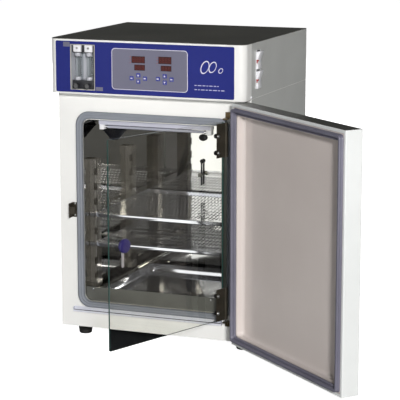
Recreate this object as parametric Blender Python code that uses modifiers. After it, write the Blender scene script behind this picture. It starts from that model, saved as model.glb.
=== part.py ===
"""Laboratory incubator with its outer door and inner glass door standing open.

Every sub-part is one named object.  Lengths are metres, +Z is up, and the world origin is on
the floor, in the middle of the whole object's box with both doors standing open.  Inside the
functions a point is given in cabinet coordinates: x from the cabinet's middle, y backwards from
the body's front face, z up from the floor.  Parts of the two doors are drawn in their closed
position and hang from an empty on the hinge axis, which is turned open.
"""
import math

import bmesh
import bpy
from mathutils import Matrix, Vector

# Cabinet
BODY_WIDTH = 0.560
BODY_DEPTH = 0.4765
FOOT_HEIGHT = 0.035
BODY_TOP = 0.6974
TOTAL_HEIGHT = 0.8462
HEAD_OVERHANG = 0.051
HEAD_CORNER = 0.020
SHEET = 0.0012
PLATE = 0.0015
GAP = 0.0003
HALF = BODY_WIDTH / 2
HEAD_FRONT = -HEAD_OVERHANG
FOOT_X = 0.237
FOOT_Y = 0.063

# Chamber
CHAMBER_HALF = 0.2065
CHAMBER_LOW = 0.112
CHAMBER_HIGH = 0.622
CHAMBER_DEPTH = 0.404
CHAMBER_CORNER = 0.020
LINER_WALL = 0.001
SEAL_OUTER = (0.2263, 0.0939, 0.6440)
SEAL_OUTER_CORNER = 0.037
SEAL_FRONT = -0.0115

# Shelves and their side racks
SHELF_LEVELS = {"shelf_upper": 0.3555, "shelf_lower": 0.2725}
SHELF_FRONT = 0.029
SHELF_BACK = 0.392
SHELF_HALF = 0.1870
SHELF_BAR_HALF = 0.2045
SHELF_BAR_DROP = 0.011
RACK_FACE = 0.1880
UPRIGHT_FRONTS = (0.0375, 0.2860)
UPRIGHT_DEPTH = 0.034
UPRIGHT_LOW = 0.143
UPRIGHT_HIGH = 0.505
NOTCH_PITCH = 0.042
NOTCH_HEIGHT = 0.020
NOTCH_COUNT = 8
NOTCH_TOP = 0.470

# Outer door, drawn closed
DOOR_OPEN = math.radians(139.2)
DOOR_AXIS = (0.26935, -0.0414)
DOOR_LEFT = -0.2695
DOOR_RIGHT = 0.2725
DOOR_LOW = 0.0471
DOOR_HIGH = 0.6950
DOOR_INNER = -0.0120
DOOR_OUTER = -0.0600
DOOR_FLANGE = 0.0080
GASKET_MARGIN = (0.0090, 0.0100, 0.0110)
GASKET_WIDTH = 0.0165
RECESS_FLOOR = -0.0360
DOOR_PIN_RADIUS = 0.0020

# Inner glass door, drawn closed
GLASS_OPEN = math.radians(68.5)
GLASS_AXIS = (0.2165, -0.0185)
GLASS_LEFT = -0.2178
GLASS_RIGHT = 0.2080
GLASS_LOW = 0.1020
GLASS_HIGH = 0.6400
GLASS_BACK = -0.0120
GLASS_THICK = 0.0050
GLASS_FRONT = GLASS_BACK - GLASS_THICK
ROD_RADIUS = 0.0025
STRAPS = {"glass_strap_upper": (0.5450, 0.6360), "glass_strap_lower": (0.1010, 0.1890)}
KNOB = (-0.1725, 0.3685)
KNOB_RADIUS = 0.0190
TONGUE_LENGTH = 0.057

# Circulation fan
FAN = (-0.155, 0.095)
FAN_RADIUS = 0.038
SHAFT_RADIUS = 0.004

# Control panel on the head
OVERLAY = (-0.2615, 0.2505, 0.7020, 0.8400)
OVERLAY_FRONT = HEAD_FRONT - 0.0010
BUTTON_RADIUS = 0.0045
BUTTON_HOLE = 0.0049
BUTTONS = {
    "button_left_west": (-0.0390, 0.7470),
    "button_left_north": (-0.0197, 0.7555),
    "button_left_south": (-0.0197, 0.7388),
    "button_left_east": (-0.0005, 0.7475),
    "button_right_west": (0.0365, 0.7480),
    "button_right_north": (0.0560, 0.7560),
    "button_right_south": (0.0560, 0.7392),
    "button_right_east": (0.0753, 0.7482),
}
METER = (-0.2175, -0.1465, 0.7095, 0.8315)
METER_FRONT = -0.0530
METER_BLOCK_FACE = -0.0440
METER_BACK = -0.0200
METER_LANES = {"left": -0.1985, "right": -0.1655}
METER_GLASS = (0.7353, 0.8087)
TUBE_DEPTH = (-0.0420, -0.0310)
VALVE_HEIGHT = 0.7205
FLOAT_RADIUS = 0.0030
ROCKERS = {"rocker_upper": 0.7990, "rocker_lower": 0.7475}
ROCKER_Y = 0.052
ROCKER_HALF = (0.0150, 0.0235)
ROCKER_TILT = math.radians(7)


def clear_scene():
    for old in list(bpy.data.objects):
        bpy.data.objects.remove(old, do_unlink=True)


def new_collection(name):
    collection = bpy.data.collections.new(name)
    bpy.context.scene.collection.children.link(collection)
    return collection


def material(name, colour, roughness, metallic=0.0, alpha=1.0):
    made = bpy.data.materials.new(name)
    made.use_nodes = True
    shader = made.node_tree.nodes["Principled BSDF"]
    shader.inputs["Base Color"].default_value = (*colour, 1.0)
    shader.inputs["Roughness"].default_value = roughness
    shader.inputs["Metallic"].default_value = metallic
    shader.inputs["Alpha"].default_value = alpha
    return made


clear_scene()
PARTS = new_collection("laboratory_incubator")
CUTTERS = new_collection("cutters")

WHITE = material("white_powder_coat", (0.87, 0.87, 0.84), 0.35)
GREY_TOP = material("dark_grey_coat", (0.05, 0.05, 0.047), 0.45)
STEEL = material("mirror_steel", (0.62, 0.61, 0.59), 0.08, 1.0)
DULL_STEEL = material("brushed_steel", (0.40, 0.40, 0.39), 0.35, 1.0)
BRIGHT = material("bright_aluminium", (0.80, 0.80, 0.80), 0.25, 1.0)
BRONZE = material("dark_bronze", (0.045, 0.040, 0.032), 0.35, 0.8)
BRASS = material("brass", (0.60, 0.45, 0.20), 0.30, 1.0)
SILICONE = material("grey_silicone", (0.27, 0.29, 0.33), 0.55)
GASKET = material("blue_grey_gasket", (0.09, 0.09, 0.115), 0.55)
LINING = material("warm_grey_lining", (0.38, 0.34, 0.32), 0.45)
RUBBER = material("black_rubber", (0.02, 0.02, 0.02), 0.80)
BLUE = material("blue_overlay", (0.022, 0.030, 0.20), 0.30)
BUTTON_BLUE = material("button_blue", (0.03, 0.05, 0.30), 0.35)
KNOB_BLUE = material("knob_blue", (0.035, 0.03, 0.16), 0.30)
BLACK = material("black_plastic", (0.02, 0.02, 0.022), 0.35)
PALE = material("pale_plastic", (0.70, 0.70, 0.68), 0.40)
CLEAR = material("clear_acrylic", (0.92, 0.94, 0.93), 0.05, 0.0, 0.35)
GLASS = material("clear_glass", (0.88, 0.95, 0.92), 0.02, 0.0, 0.25)
WOOL = material("mineral_wool", (0.65, 0.60, 0.45), 0.95)
RED = material("red_float", (0.55, 0.04, 0.03), 0.40)

CABINET = bpy.data.objects.new("cabinet_frame", None)
PARTS.objects.link(CABINET)


def axis_empty(name, at, turn=0.0, parent=CABINET):
    """An empty on a joint's axis, given in its parent's coordinates."""
    empty = bpy.data.objects.new(name, None)
    empty.parent = parent
    empty.location = at
    empty.rotation_euler = (0, 0, turn)
    PARTS.objects.link(empty)
    return empty


def add(name, bm, finish, parent=CABINET, origin=(0, 0, 0), smooth=None):
    """Link a bmesh as one sub-part whose own origin is at a cabinet point."""
    bmesh.ops.recalc_face_normals(bm, faces=bm.faces)
    bmesh.ops.translate(bm, verts=bm.verts, vec=-Vector(origin))
    mesh = bpy.data.meshes.new(name)
    bm.to_mesh(mesh)
    bm.free()
    mesh.materials.append(finish)
    if smooth:
        mesh.shade_smooth()
        mesh.set_sharp_from_angle(angle=math.radians(smooth))
    made = bpy.data.objects.new(name, mesh)
    made.parent = parent
    made.location = Vector(origin) - (parent.location if parent is not CABINET else Vector())
    PARTS.objects.link(made)
    return made


def box_mesh(low, high):
    bm = bmesh.new()
    low, high = Vector(low), Vector(high)
    place = Matrix.Translation((low + high) / 2) @ Matrix.Diagonal((*(high - low), 1))
    bmesh.ops.create_cube(bm, size=1, matrix=place)
    return bm


def round_mesh(centre, axis, radius, start, end, segments=20, radius2=None):
    """A cylinder or cone along x, y or z between two stations on that axis."""
    bm = bmesh.new()
    turn = {"x": Matrix.Rotation(math.pi / 2, 4, "Y"), "y": Matrix.Rotation(-math.pi / 2, 4, "X"),
            "z": Matrix.Identity(4)}[axis]
    middle = (start + end) / 2
    place = {"x": (middle, *centre), "y": (centre[0], middle, centre[1]), "z": (*centre, middle)}[axis]
    bmesh.ops.create_cone(bm, cap_ends=True, segments=segments, radius1=radius,
                          radius2=radius if radius2 is None else radius2, depth=end - start,
                          matrix=Matrix.Translation(place) @ turn)
    return bm


def filleted(points, steps=5):
    """An outline from (u, v, radius) corners, each corner rounded by an arc."""
    outline = []
    for i, (u, v, radius) in enumerate(points):
        corner = Vector((u, v))
        if radius <= 0:
            outline.append(tuple(corner))
            continue
        before = (Vector(points[i - 1][:2]) - corner).normalized()
        after = (Vector(points[(i + 1) % len(points)][:2]) - corner).normalized()
        half = before.angle(after) / 2
        centre = corner + (before + after).normalized() * radius / math.sin(half)
        start = corner + before * radius / math.tan(half) - centre
        sweep = start.angle_signed(corner + after * radius / math.tan(half) - centre)
        for step in range(steps + 1):
            angle = -sweep * step / steps
            turned = Matrix.Rotation(angle, 2) @ start
            outline.append(tuple(centre + turned))
    return outline


def rectangle(u0, u1, v0, v1, radius=0.0, steps=5):
    return filleted([(u0, v0, radius), (u1, v0, radius), (u1, v1, radius), (u0, v1, radius)], steps)


def circle(u, v, radius, steps=20):
    return [(u + radius * math.cos(2 * math.pi * i / steps), v + radius * math.sin(2 * math.pi * i / steps))
            for i in range(steps)]


def plate_mesh(outlines, axis, start, end):
    """A flat 2D curve, its first outline the edge and the rest holes, given a thickness.

    The outline's (u, v) are (x, z) for axis y, (x, y) for axis z and (y, z) for axis x.
    """
    curve = bpy.data.curves.new("outline", "CURVE")
    curve.dimensions = "2D"
    curve.fill_mode = "BOTH"
    curve.extrude = (end - start) / 2
    for outline in outlines:
        spline = curve.splines.new("POLY")
        spline.points.add(len(outline) - 1)
        spline.use_cyclic_u = True
        for point, (u, v) in zip(spline.points, outline):
            point.co = (u, v, 0, 1)
    guide = bpy.data.objects.new("outline", curve)
    CUTTERS.objects.link(guide)
    bm = evaluated_mesh(guide)
    middle = (start + end) / 2
    frames = {"z": Matrix(((1, 0, 0, 0), (0, 1, 0, 0), (0, 0, 1, middle), (0, 0, 0, 1))),
              "y": Matrix(((1, 0, 0, 0), (0, 0, -1, middle), (0, 1, 0, 0), (0, 0, 0, 1))),
              "x": Matrix(((0, 0, 1, middle), (1, 0, 0, 0), (0, 1, 0, 0), (0, 0, 0, 1)))}
    bmesh.ops.transform(bm, matrix=frames[axis], verts=bm.verts)
    return bm


def evaluated_mesh(source):
    """The source's evaluated shape as a welded bmesh; the source is removed."""
    bpy.context.view_layer.update()
    graph = bpy.context.evaluated_depsgraph_get()
    mesh = bpy.data.meshes.new_from_object(source.evaluated_get(graph))
    bm = bmesh.new()
    bm.from_mesh(mesh)
    bm.transform(source.matrix_world)
    bmesh.ops.remove_doubles(bm, verts=bm.verts, dist=0.000002)
    bmesh.ops.recalc_face_normals(bm, faces=bm.faces)
    bpy.data.objects.remove(source, do_unlink=True)
    return bm


def tube_mesh(points, radius, resolution=2):
    """A round bar along a list of points."""
    curve = bpy.data.curves.new("bar", "CURVE")
    curve.dimensions = "3D"
    curve.bevel_depth = radius
    curve.bevel_resolution = resolution
    curve.use_fill_caps = True
    spline = curve.splines.new("POLY")
    spline.points.add(len(points) - 1)
    for point, at in zip(spline.points, points):
        point.co = (*at, 1)
    guide = bpy.data.objects.new("bar", curve)
    CUTTERS.objects.link(guide)
    return evaluated_mesh(guide)


def turned_mesh(profile, steps):
    """A (radius, height) profile turned about +Z; it starts and ends on the axis."""
    mesh = bpy.data.meshes.new("profile")
    mesh.from_pydata([(r, 0, h) for r, h in profile], [(i, i + 1) for i in range(len(profile) - 1)], [])
    guide = bpy.data.objects.new("profile", mesh)
    CUTTERS.objects.link(guide)
    screw = guide.modifiers.new("turn", "SCREW")
    screw.steps = steps
    screw.render_steps = steps
    screw.use_merge_vertices = True
    screw.merge_threshold = 0.00001
    return evaluated_mesh(guide)


def cut(bm, cutters, operation="DIFFERENCE"):
    """The bmesh after an exact Boolean with each cutter bmesh in turn."""
    mesh = bpy.data.meshes.new("work")
    bm.to_mesh(mesh)
    bm.free()
    work = bpy.data.objects.new("work", mesh)
    CUTTERS.objects.link(work)
    tools = []
    for cutter in cutters:
        tool_mesh = bpy.data.meshes.new("cutter")
        bmesh.ops.recalc_face_normals(cutter, faces=cutter.faces)
        cutter.to_mesh(tool_mesh)
        cutter.free()
        tool = bpy.data.objects.new("cutter", tool_mesh)
        tool.hide_render = True
        tool.display_type = "WIRE"
        CUTTERS.objects.link(tool)
        boolean = work.modifiers.new("cut", "BOOLEAN")
        boolean.operation = operation
        boolean.object = tool
        tools.append(tool)
    shape = evaluated_mesh(work)
    for tool in tools:
        bpy.data.objects.remove(tool, do_unlink=True)
    return shape


def join(bm, others):
    return cut(bm, others, "UNION")


# ---- casing ----

def base_pan():
    low = (-HALF + SHEET + GAP, 0.0018, FOOT_HEIGHT)
    high = (HALF - SHEET - GAP, BODY_DEPTH - SHEET - GAP, FOOT_HEIGHT + 0.003)
    add("base_pan", box_mesh(low, high), WHITE)


def feet():
    profile = [(0, FOOT_HEIGHT - GAP), (0.0220, FOOT_HEIGHT - GAP), (0.0220, 0.030), (0.0180, 0.003),
               (0.0165, 0.0), (0, 0.0)]
    rear = BODY_DEPTH - FOOT_Y
    for name, x, y in (("foot_front_left", -FOOT_X, FOOT_Y), ("foot_front_right", FOOT_X, FOOT_Y),
                       ("foot_rear_left", -FOOT_X, rear), ("foot_rear_right", FOOT_X, rear)):
        bm = turned_mesh(profile, 16)
        bmesh.ops.translate(bm, verts=bm.verts, vec=(x, y, 0))
        add(name, bm, RUBBER, origin=(x, y, 0), smooth=40)


def front_frame():
    edge = rectangle(-HALF, HALF, FOOT_HEIGHT, BODY_TOP - GAP)
    clearance = LINER_WALL + 0.0008
    hole = rectangle(-CHAMBER_HALF - clearance, CHAMBER_HALF + clearance, CHAMBER_LOW - clearance,
                     CHAMBER_HIGH + clearance, CHAMBER_CORNER + clearance)
    add("front_frame", plate_mesh([edge, hole], "y", 0, PLATE), WHITE)


def wrapper_outline(front, back, wall):
    inner = HALF - wall
    return [(-HALF, front), (-inner, front), (-inner, back - wall), (inner, back - wall), (inner, front),
            (HALF, front), (HALF, back), (-HALF, back)]


def cabinet_wrapper():
    """Left side, back and right side folded from one sheet."""
    outline = wrapper_outline(PLATE + GAP, BODY_DEPTH, SHEET)
    bm = plate_mesh([outline], "z", FOOT_HEIGHT, BODY_TOP - GAP)
    slots = [box_mesh((x, BODY_DEPTH - 0.01, z), (x + 0.060, BODY_DEPTH + 0.01, z + 0.004))
             for x in (-0.200, 0.140) for z in (0.075, 0.090, 0.105)]
    add("cabinet_wrapper", cut(bm, slots), WHITE)


def insulation_wrap():
    gap = 0.0005
    bm = box_mesh((-HALF + SHEET + gap, PLATE + gap, FOOT_HEIGHT + 0.0035),
                  (HALF - SHEET - gap, BODY_DEPTH - SHEET - gap, BODY_TOP - 0.0009))
    wall = LINER_WALL + gap
    pocket = box_mesh((-CHAMBER_HALF - wall, -0.05, CHAMBER_LOW - wall),
                      (CHAMBER_HALF + wall, CHAMBER_DEPTH + wall, CHAMBER_HIGH + wall))
    shaft = round_mesh(FAN, "z", 0.008, CHAMBER_HIGH - 0.02, BODY_TOP + 0.02, 12)
    add("insulation_wrap", cut(bm, [pocket, shaft]), WOOL)


# ---- head ----

def head_base():
    r = HEAD_CORNER
    edge = filleted([(-HALF, HEAD_FRONT, r), (HALF, HEAD_FRONT, r), (HALF, BODY_DEPTH, 0),
                     (-HALF, BODY_DEPTH, 0)])
    hole = circle(*FAN, 0.006, 12)
    add("head_base", plate_mesh([edge, hole], "z", BODY_TOP, BODY_TOP + PLATE), WHITE)


def rocker_window(level):
    half_y, half_z = ROCKER_HALF
    return box_mesh((HALF - 0.01, ROCKER_Y - half_y - 0.0010, level - half_z - 0.0010),
                    (HALF + 0.01, ROCKER_Y + half_y + 0.0010, level + half_z + 0.0010))


def head_shell():
    """Left side, back and right side of the head, with windows for the two rocker switches."""
    outline = wrapper_outline(GAP, BODY_DEPTH, SHEET)
    bm = plate_mesh([outline], "z", BODY_TOP + PLATE + GAP, TOTAL_HEIGHT - SHEET - GAP)
    windows = [rocker_window(level) for level in ROCKERS.values()]
    slots = [box_mesh((x, BODY_DEPTH - 0.01, 0.800), (x + 0.005, BODY_DEPTH + 0.01, 0.830))
             for x in (-0.200, -0.185, -0.170, -0.155, -0.140)]
    add("head_shell", cut(bm, windows + slots), WHITE)


def head_fascia():
    """Front of the head, wrapped round both corners, with holes for the buttons and flow meter."""
    r = HEAD_CORNER
    inner = HALF - PLATE
    edge = [(-HALF, 0, 0), (-HALF, HEAD_FRONT, r), (HALF, HEAD_FRONT, r), (HALF, 0, 0),
            (inner, 0, 0), (inner, HEAD_FRONT + PLATE, r - PLATE),
            (-inner, HEAD_FRONT + PLATE, r - PLATE), (-inner, 0, 0)]
    bm = plate_mesh([filleted(edge)], "z", BODY_TOP + PLATE + GAP, TOTAL_HEIGHT - SHEET - GAP)
    add("head_fascia", cut(bm, panel_cutters()), WHITE, smooth=30)


def panel_cutters():
    x0, x1, z0, z1 = METER
    slack = 0.0005
    cutters = [box_mesh((x0 - slack, HEAD_FRONT - 0.01, z0 - slack),
                        (x1 + slack, HEAD_FRONT + 0.01, z1 + slack))]
    cutters += [round_mesh(at, "y", BUTTON_HOLE, HEAD_FRONT - 0.01, HEAD_FRONT + 0.01, 16)
                for at in BUTTONS.values()]
    return cutters


def top_cover():
    r = HEAD_CORNER
    edge = filleted([(-HALF, HEAD_FRONT, r), (HALF, HEAD_FRONT, r), (HALF, BODY_DEPTH, 0),
                     (-HALF, BODY_DEPTH, 0)])
    add("top_cover", plate_mesh([edge], "z", TOTAL_HEIGHT - SHEET, TOTAL_HEIGHT), GREY_TOP)


def control_overlay():
    x0, x1, z0, z1 = OVERLAY
    bm = plate_mesh([rectangle(x0, x1, z0, z1, 0.004, 3)], "y", OVERLAY_FRONT, HEAD_FRONT - GAP)
    add("control_overlay", cut(bm, panel_cutters()), BLUE)


def buttons():
    for name, (x, z) in BUTTONS.items():
        profile = [(0, 0.0042), (0.0030, 0.0040), (BUTTON_RADIUS, 0.0030), (BUTTON_RADIUS, 0), (0, 0)]
        bm = turned_mesh(profile, 16)
        back = HEAD_FRONT + 0.0008
        bm.transform(Matrix.Translation((x, back, z)) @ Matrix.Rotation(math.pi / 2, 4, "X"))
        add(name, bm, BUTTON_BLUE, origin=(x, back, z), smooth=40)


def flow_meter():
    """Two rotameters side by side in one recessed pocket, each with a needle valve below."""
    x0, x1, z0, z1 = METER
    low, high = METER_GLASS
    wall = PLATE
    bm = box_mesh((x0, METER_FRONT, z0), (x1, METER_BACK, z1))
    mouth = box_mesh((x0 + wall, METER_FRONT - 0.01, z0 + wall), (x1 - wall, METER_BLOCK_FACE, z1 - wall))
    well = box_mesh((x0 + wall, METER_FRONT - 0.01, low - GAP), (x1 - wall, METER_BACK - wall, high + GAP))
    bm = cut(cut(bm, [mouth]), [well])
    sockets = [round_mesh((x, VALVE_HEIGHT), "y", 0.0030, METER_BLOCK_FACE - 0.01, METER_BLOCK_FACE + 0.010, 12)
               for x in METER_LANES.values()]
    add("flowmeter_pocket", cut(bm, sockets), BRIGHT)
    middle = sum(TUBE_DEPTH) / 2
    for side, x in METER_LANES.items():
        edge = rectangle(x - 0.0100, x + 0.0100, *TUBE_DEPTH, 0.0015, 2)
        bm = plate_mesh([edge, circle(x, middle, 0.0037, 16)], "z", low, high)
        add(f"flowmeter_tube_{side}", bm, CLEAR)
        bottom = low + 0.0005
        profile = [(0, 0.0080), (FLOAT_RADIUS, 0.0060), (FLOAT_RADIUS, 0.0045), (0.0012, 0), (0, 0)]
        bm = turned_mesh(profile, 12)
        bmesh.ops.translate(bm, verts=bm.verts, vec=(x, middle, bottom))
        add(f"float_{side}", bm, RED, origin=(x, middle, bottom), smooth=40)
        valve_knob(f"valve_knob_{side}", x, VALVE_HEIGHT)


def valve_knob(name, x, z):
    """A flared knob on a spindle that turns in the flow meter's lower block."""
    profile = [(0, 0.0200), (0.0076, 0.0198), (0.0086, 0.0185), (0.0084, 0.0120), (0.0048, 0.0040),
               (0.0048, 0.0005), (0.0026, 0.0005), (0.0026, -0.0090), (0, -0.0090)]
    bm = turned_mesh(profile, 16)
    bm.transform(Matrix.Translation((x, METER_BLOCK_FACE, z)) @ Matrix.Rotation(math.pi / 2, 4, "X"))
    add(name, bm, BLACK, origin=(x, METER_BLOCK_FACE, z), smooth=30)


def rockers():
    """Two rocker caps with a shallow valley, each tilted on the level pivot behind its window."""
    half_y, half_z = ROCKER_HALF
    pivot_x = HALF - 0.0030
    shape = [(-0.0040, -half_z * 0.6), (0.0045, -half_z + 0.0003), (0.0110, -half_z), (0.0070, 0),
             (0.0110, half_z), (0.0045, half_z - 0.0003), (-0.0040, half_z * 0.6)]
    for name, level in ROCKERS.items():
        bm = plate_mesh([shape], "y", -half_y, half_y)
        bm.transform(Matrix.Translation((pivot_x, ROCKER_Y, level)) @ Matrix.Rotation(ROCKER_TILT, 4, "Y"))
        add(name, bm, PALE, origin=(pivot_x, ROCKER_Y, level))


def control_module():
    bm = box_mesh((-0.105, HEAD_FRONT + 0.006, 0.7060), (0.130, HEAD_FRONT + 0.0285, 0.8360))
    supply = box_mesh((0.020, HEAD_FRONT + 0.020, 0.7060), (0.125, 0.040, 0.7600))
    add("control_module", join(bm, [supply]), DULL_STEEL)


def service_panel():
    """Rear plate with the mains inlet and two barbed gas inlets."""
    face = BODY_DEPTH + GAP
    bm = box_mesh((0.060, face, 0.7150), (0.240, face + 0.0020, 0.7850))
    pieces = [box_mesh((0.075, face + 0.0010, 0.7350), (0.105, face + 0.0140, 0.7600))]
    for x in (0.160, 0.205):
        pieces.append(round_mesh((x, 0.750), "y", 0.0080, face + 0.0010, face + 0.0080, 6))
        pieces.append(round_mesh((x, 0.750), "y", 0.0040, face + 0.0050, face + 0.0240, 12, 0.0034))
    bm = join(bm, pieces)
    socket = box_mesh((0.079, face + 0.0060, 0.7390), (0.101, face + 0.0200, 0.7560))
    add("service_panel", cut(bm, [socket]), BLACK)


# ---- chamber ----

def chamber_liner():
    """Open-fronted box of thin sheet: the inner surface thickened outwards."""
    bm = bmesh.new()
    outline = rectangle(-CHAMBER_HALF, CHAMBER_HALF, CHAMBER_LOW, CHAMBER_HIGH, CHAMBER_CORNER)
    back = bm.faces.new([bm.verts.new((x, CHAMBER_DEPTH, z)) for x, z in outline])
    walls = bmesh.ops.extrude_edge_only(bm, edges=list(back.edges))["geom"]
    rim = [v for v in walls if isinstance(v, bmesh.types.BMVert)]
    bmesh.ops.translate(bm, verts=rim, vec=(0, 0.0002 - CHAMBER_DEPTH, 0))
    bmesh.ops.recalc_face_normals(bm, faces=bm.faces)
    mesh = bpy.data.meshes.new("sheet")
    bm.to_mesh(mesh)
    bm.free()
    sheet = bpy.data.objects.new("sheet", mesh)
    CUTTERS.objects.link(sheet)
    solidify = sheet.modifiers.new("wall", "SOLIDIFY")
    solidify.thickness = LINER_WALL
    solidify.offset = 1
    solidify.use_even_offset = True
    shaft = round_mesh(FAN, "z", 0.006, CHAMBER_HIGH - 0.01, CHAMBER_HIGH + 0.01, 12)
    add("chamber_liner", cut(evaluated_mesh(sheet), [shaft]), STEEL, smooth=30)


def chamber_seal():
    half, low, high = SEAL_OUTER
    lip = 0.0015
    outer = rectangle(-half, half, low, high, SEAL_OUTER_CORNER, 6)
    inner = rectangle(-CHAMBER_HALF - lip, CHAMBER_HALF + lip, CHAMBER_LOW - lip, CHAMBER_HIGH + lip + 0.001,
                      CHAMBER_CORNER + lip, 6)
    seal = add("chamber_seal", plate_mesh([outer, inner], "y", SEAL_FRONT, -GAP), SILICONE, smooth=35)
    bevel = seal.modifiers.new("soft_edges", "BEVEL")
    bevel.width = 0.0045
    bevel.segments = 2
    bevel.limit_method = "ANGLE"
    bevel.angle_limit = math.radians(60)


def front_sill():
    r = CHAMBER_CORNER
    half = CHAMBER_HALF - 0.0006
    edge = filleted([(-half, CHAMBER_LOW + 0.0006, r), (half, CHAMBER_LOW + 0.0006, r), (half, 0.150, 0),
                     (-half, 0.150, 0)])
    add("front_sill", plate_mesh([edge], "y", 0.0060, 0.0075), DULL_STEEL)


def drip_rail():
    back, front = -GAP, -0.0115
    low, high = 0.0790, 0.0932
    edge = [(back, low), (back, high), (back - PLATE, high), (back - PLATE, low + PLATE),
            (front + PLATE, low + PLATE), (front + PLATE, low + 0.005), (front, low + 0.005), (front, low)]
    add("drip_rail", plate_mesh([edge], "x", -0.2400, 0.2000), BRIGHT)


def side_rack(name, side):
    """Two notched channel uprights joined by the shelf rails; side is -1 left or +1 right."""
    wall = CHAMBER_HALF - 0.0003
    face = RACK_FACE
    pieces = []
    for front in UPRIGHT_FRONTS:
        back = front + UPRIGHT_DEPTH
        channel = [(wall, front), (face, front), (face, back), (wall, back), (wall, back - PLATE),
                   (face + PLATE, back - PLATE), (face + PLATE, front + PLATE), (wall, front + PLATE)]
        pieces.append(plate_mesh([[(side * x, y) for x, y in channel]], "z", UPRIGHT_LOW, UPRIGHT_HIGH))
    for level in SHELF_LEVELS.values():
        top = level - PLATE - GAP
        xs = sorted((side * (face + 0.0010), side * (face - 0.0180)))
        pieces.append(box_mesh((xs[0], UPRIGHT_FRONTS[0] + 0.0060, top - PLATE),
                               (xs[1], UPRIGHT_FRONTS[1] + 0.0280, top)))
    bm = join(pieces[0], pieces[1:])
    notches = []
    for front in UPRIGHT_FRONTS:
        for i in range(NOTCH_COUNT):
            z = NOTCH_TOP - i * NOTCH_PITCH
            clear = min(abs(z - level) for level in SHELF_LEVELS.values())
            if clear < 0.014:
                continue
            xs = sorted((side * (face - 0.002), side * (face + 0.0065)))
            notches.append(box_mesh((xs[0], front - 0.002, z - NOTCH_HEIGHT / 2),
                                    (xs[1], front + 0.010, z + NOTCH_HEIGHT / 2)))
    add(name, cut(bm, notches), STEEL)


def shelf(name, top):
    """A slotted plate with a folded front bar that runs in front of the uprights."""
    bar, half = SHELF_BAR_HALF, SHELF_HALF
    front, shoulder = SHELF_FRONT, SHELF_FRONT + 0.0055
    edge = [(-bar, front), (bar, front), (bar, shoulder), (half, shoulder), (half, SHELF_BACK),
            (-half, SHELF_BACK), (-half, shoulder), (-bar, shoulder)]
    slots = []
    count, rows = 13, ((0.052, 0.208), (0.220, 0.376))
    for i in range(count):
        x = (i - (count - 1) / 2) * 0.0265
        slots += [rectangle(x - 0.0060, x + 0.0060, y0, y1) for y0, y1 in rows]
    bm = plate_mesh([edge] + slots, "z", top - PLATE, top)
    lip = box_mesh((-bar, front, top - SHELF_BAR_DROP), (bar, front + PLATE, top - PLATE / 2))
    add(name, join(bm, [lip]), BRIGHT, origin=(0, front, top))


def water_pan():
    wall = 0.0010
    low, high = Vector((-0.170, 0.030, CHAMBER_LOW + 0.0005)), Vector((0.170, 0.380, 0.1390))
    inset = Vector((wall, wall, 0))
    hollow = box_mesh(low + Vector((wall, wall, wall)), high - inset + Vector((0, 0, 0.02)))
    add("water_pan", cut(box_mesh(low, high), [hollow]), BRIGHT, origin=(0, 0.205, low.z))


def lamp_fixture():
    """Channel under the ceiling with two end holders and a thin tube between them."""
    y0, y1 = 0.0200, 0.0460
    x0, x1 = -0.1690, 0.1580
    bm = box_mesh((x0, y0, 0.6065), (x1, y1, CHAMBER_HIGH - 0.0004))
    pieces = [box_mesh((x, y0 + 0.003, 0.5920), (x + 0.014, y1 - 0.003, 0.6100)) for x in (x0, x1 - 0.014)]
    pieces.append(round_mesh((0.033, 0.5985), "x", 0.0040, x0 + 0.010, x1 - 0.010, 12))
    add("lamp_fixture", join(bm, pieces), PALE)


def fan_wheel():
    """Bladed wheel shaped as an upside-down cone, on the motor's shaft."""
    x, y = FAN
    profile = [(0, 0.7080), (SHAFT_RADIUS, 0.7080), (SHAFT_RADIUS, 0.6150), (FAN_RADIUS, 0.6150),
               (FAN_RADIUS, 0.6125), (0.0180, 0.5960), (0.0135, 0.5570), (0.0100, 0.5540), (0, 0.5540)]
    bm = turned_mesh(profile, 20)
    bmesh.ops.translate(bm, verts=bm.verts, vec=(x, y, 0))
    blades = []
    for i in range(8):
        edge = [(0.0100, 0.5600), (0.0200, 0.5600), (0.0365, 0.5900), (0.0375, 0.6135), (0.0100, 0.6135)]
        blade = plate_mesh([edge], "y", -0.0009, 0.0009)
        blade.transform(Matrix.Translation((x, y, 0)) @ Matrix.Rotation(math.pi * (i + 0.5) / 4, 4, "Z"))
        blades.append(blade)
    add("fan_wheel", join(bm, blades), BLACK, origin=(x, y, 0.6150), smooth=35)


def fan_motor():
    x, y = FAN
    low = BODY_TOP + PLATE + GAP
    profile = [(0, 0.7620), (0.0300, 0.7620), (0.0340, 0.7580), (0.0340, low + 0.003), (0.0420, low + 0.003),
               (0.0420, low), (0, low)]
    bm = turned_mesh(profile, 20)
    bmesh.ops.translate(bm, verts=bm.verts, vec=(x, y, 0))
    bore = round_mesh(FAN, "z", SHAFT_RADIUS + 0.0010, low - 0.01, 0.7100, 12)
    add("fan_motor", cut(bm, [bore]), DULL_STEEL, smooth=35)


def temperature_probe():
    x, top, drop = -0.011, 0.4530, 0.3820
    bend = 0.005
    front = CHAMBER_DEPTH - 0.009
    arc = [(x, front + bend * (1 - math.sin(a)), top - bend * (1 - math.cos(a)))
           for a in (i * math.pi / 8 for i in range(5))]
    path = [(x, CHAMBER_DEPTH - 0.0004, top)] + arc + [(x, front, drop)]
    bm = tube_mesh(path, 0.0028, 2)
    boss = round_mesh((x, top), "y", 0.0060, CHAMBER_DEPTH - 0.0080, CHAMBER_DEPTH - 0.0004, 14)
    add("temperature_probe", join(bm, [boss]), BLACK, smooth=40)


# ---- inner glass door ----

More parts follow.
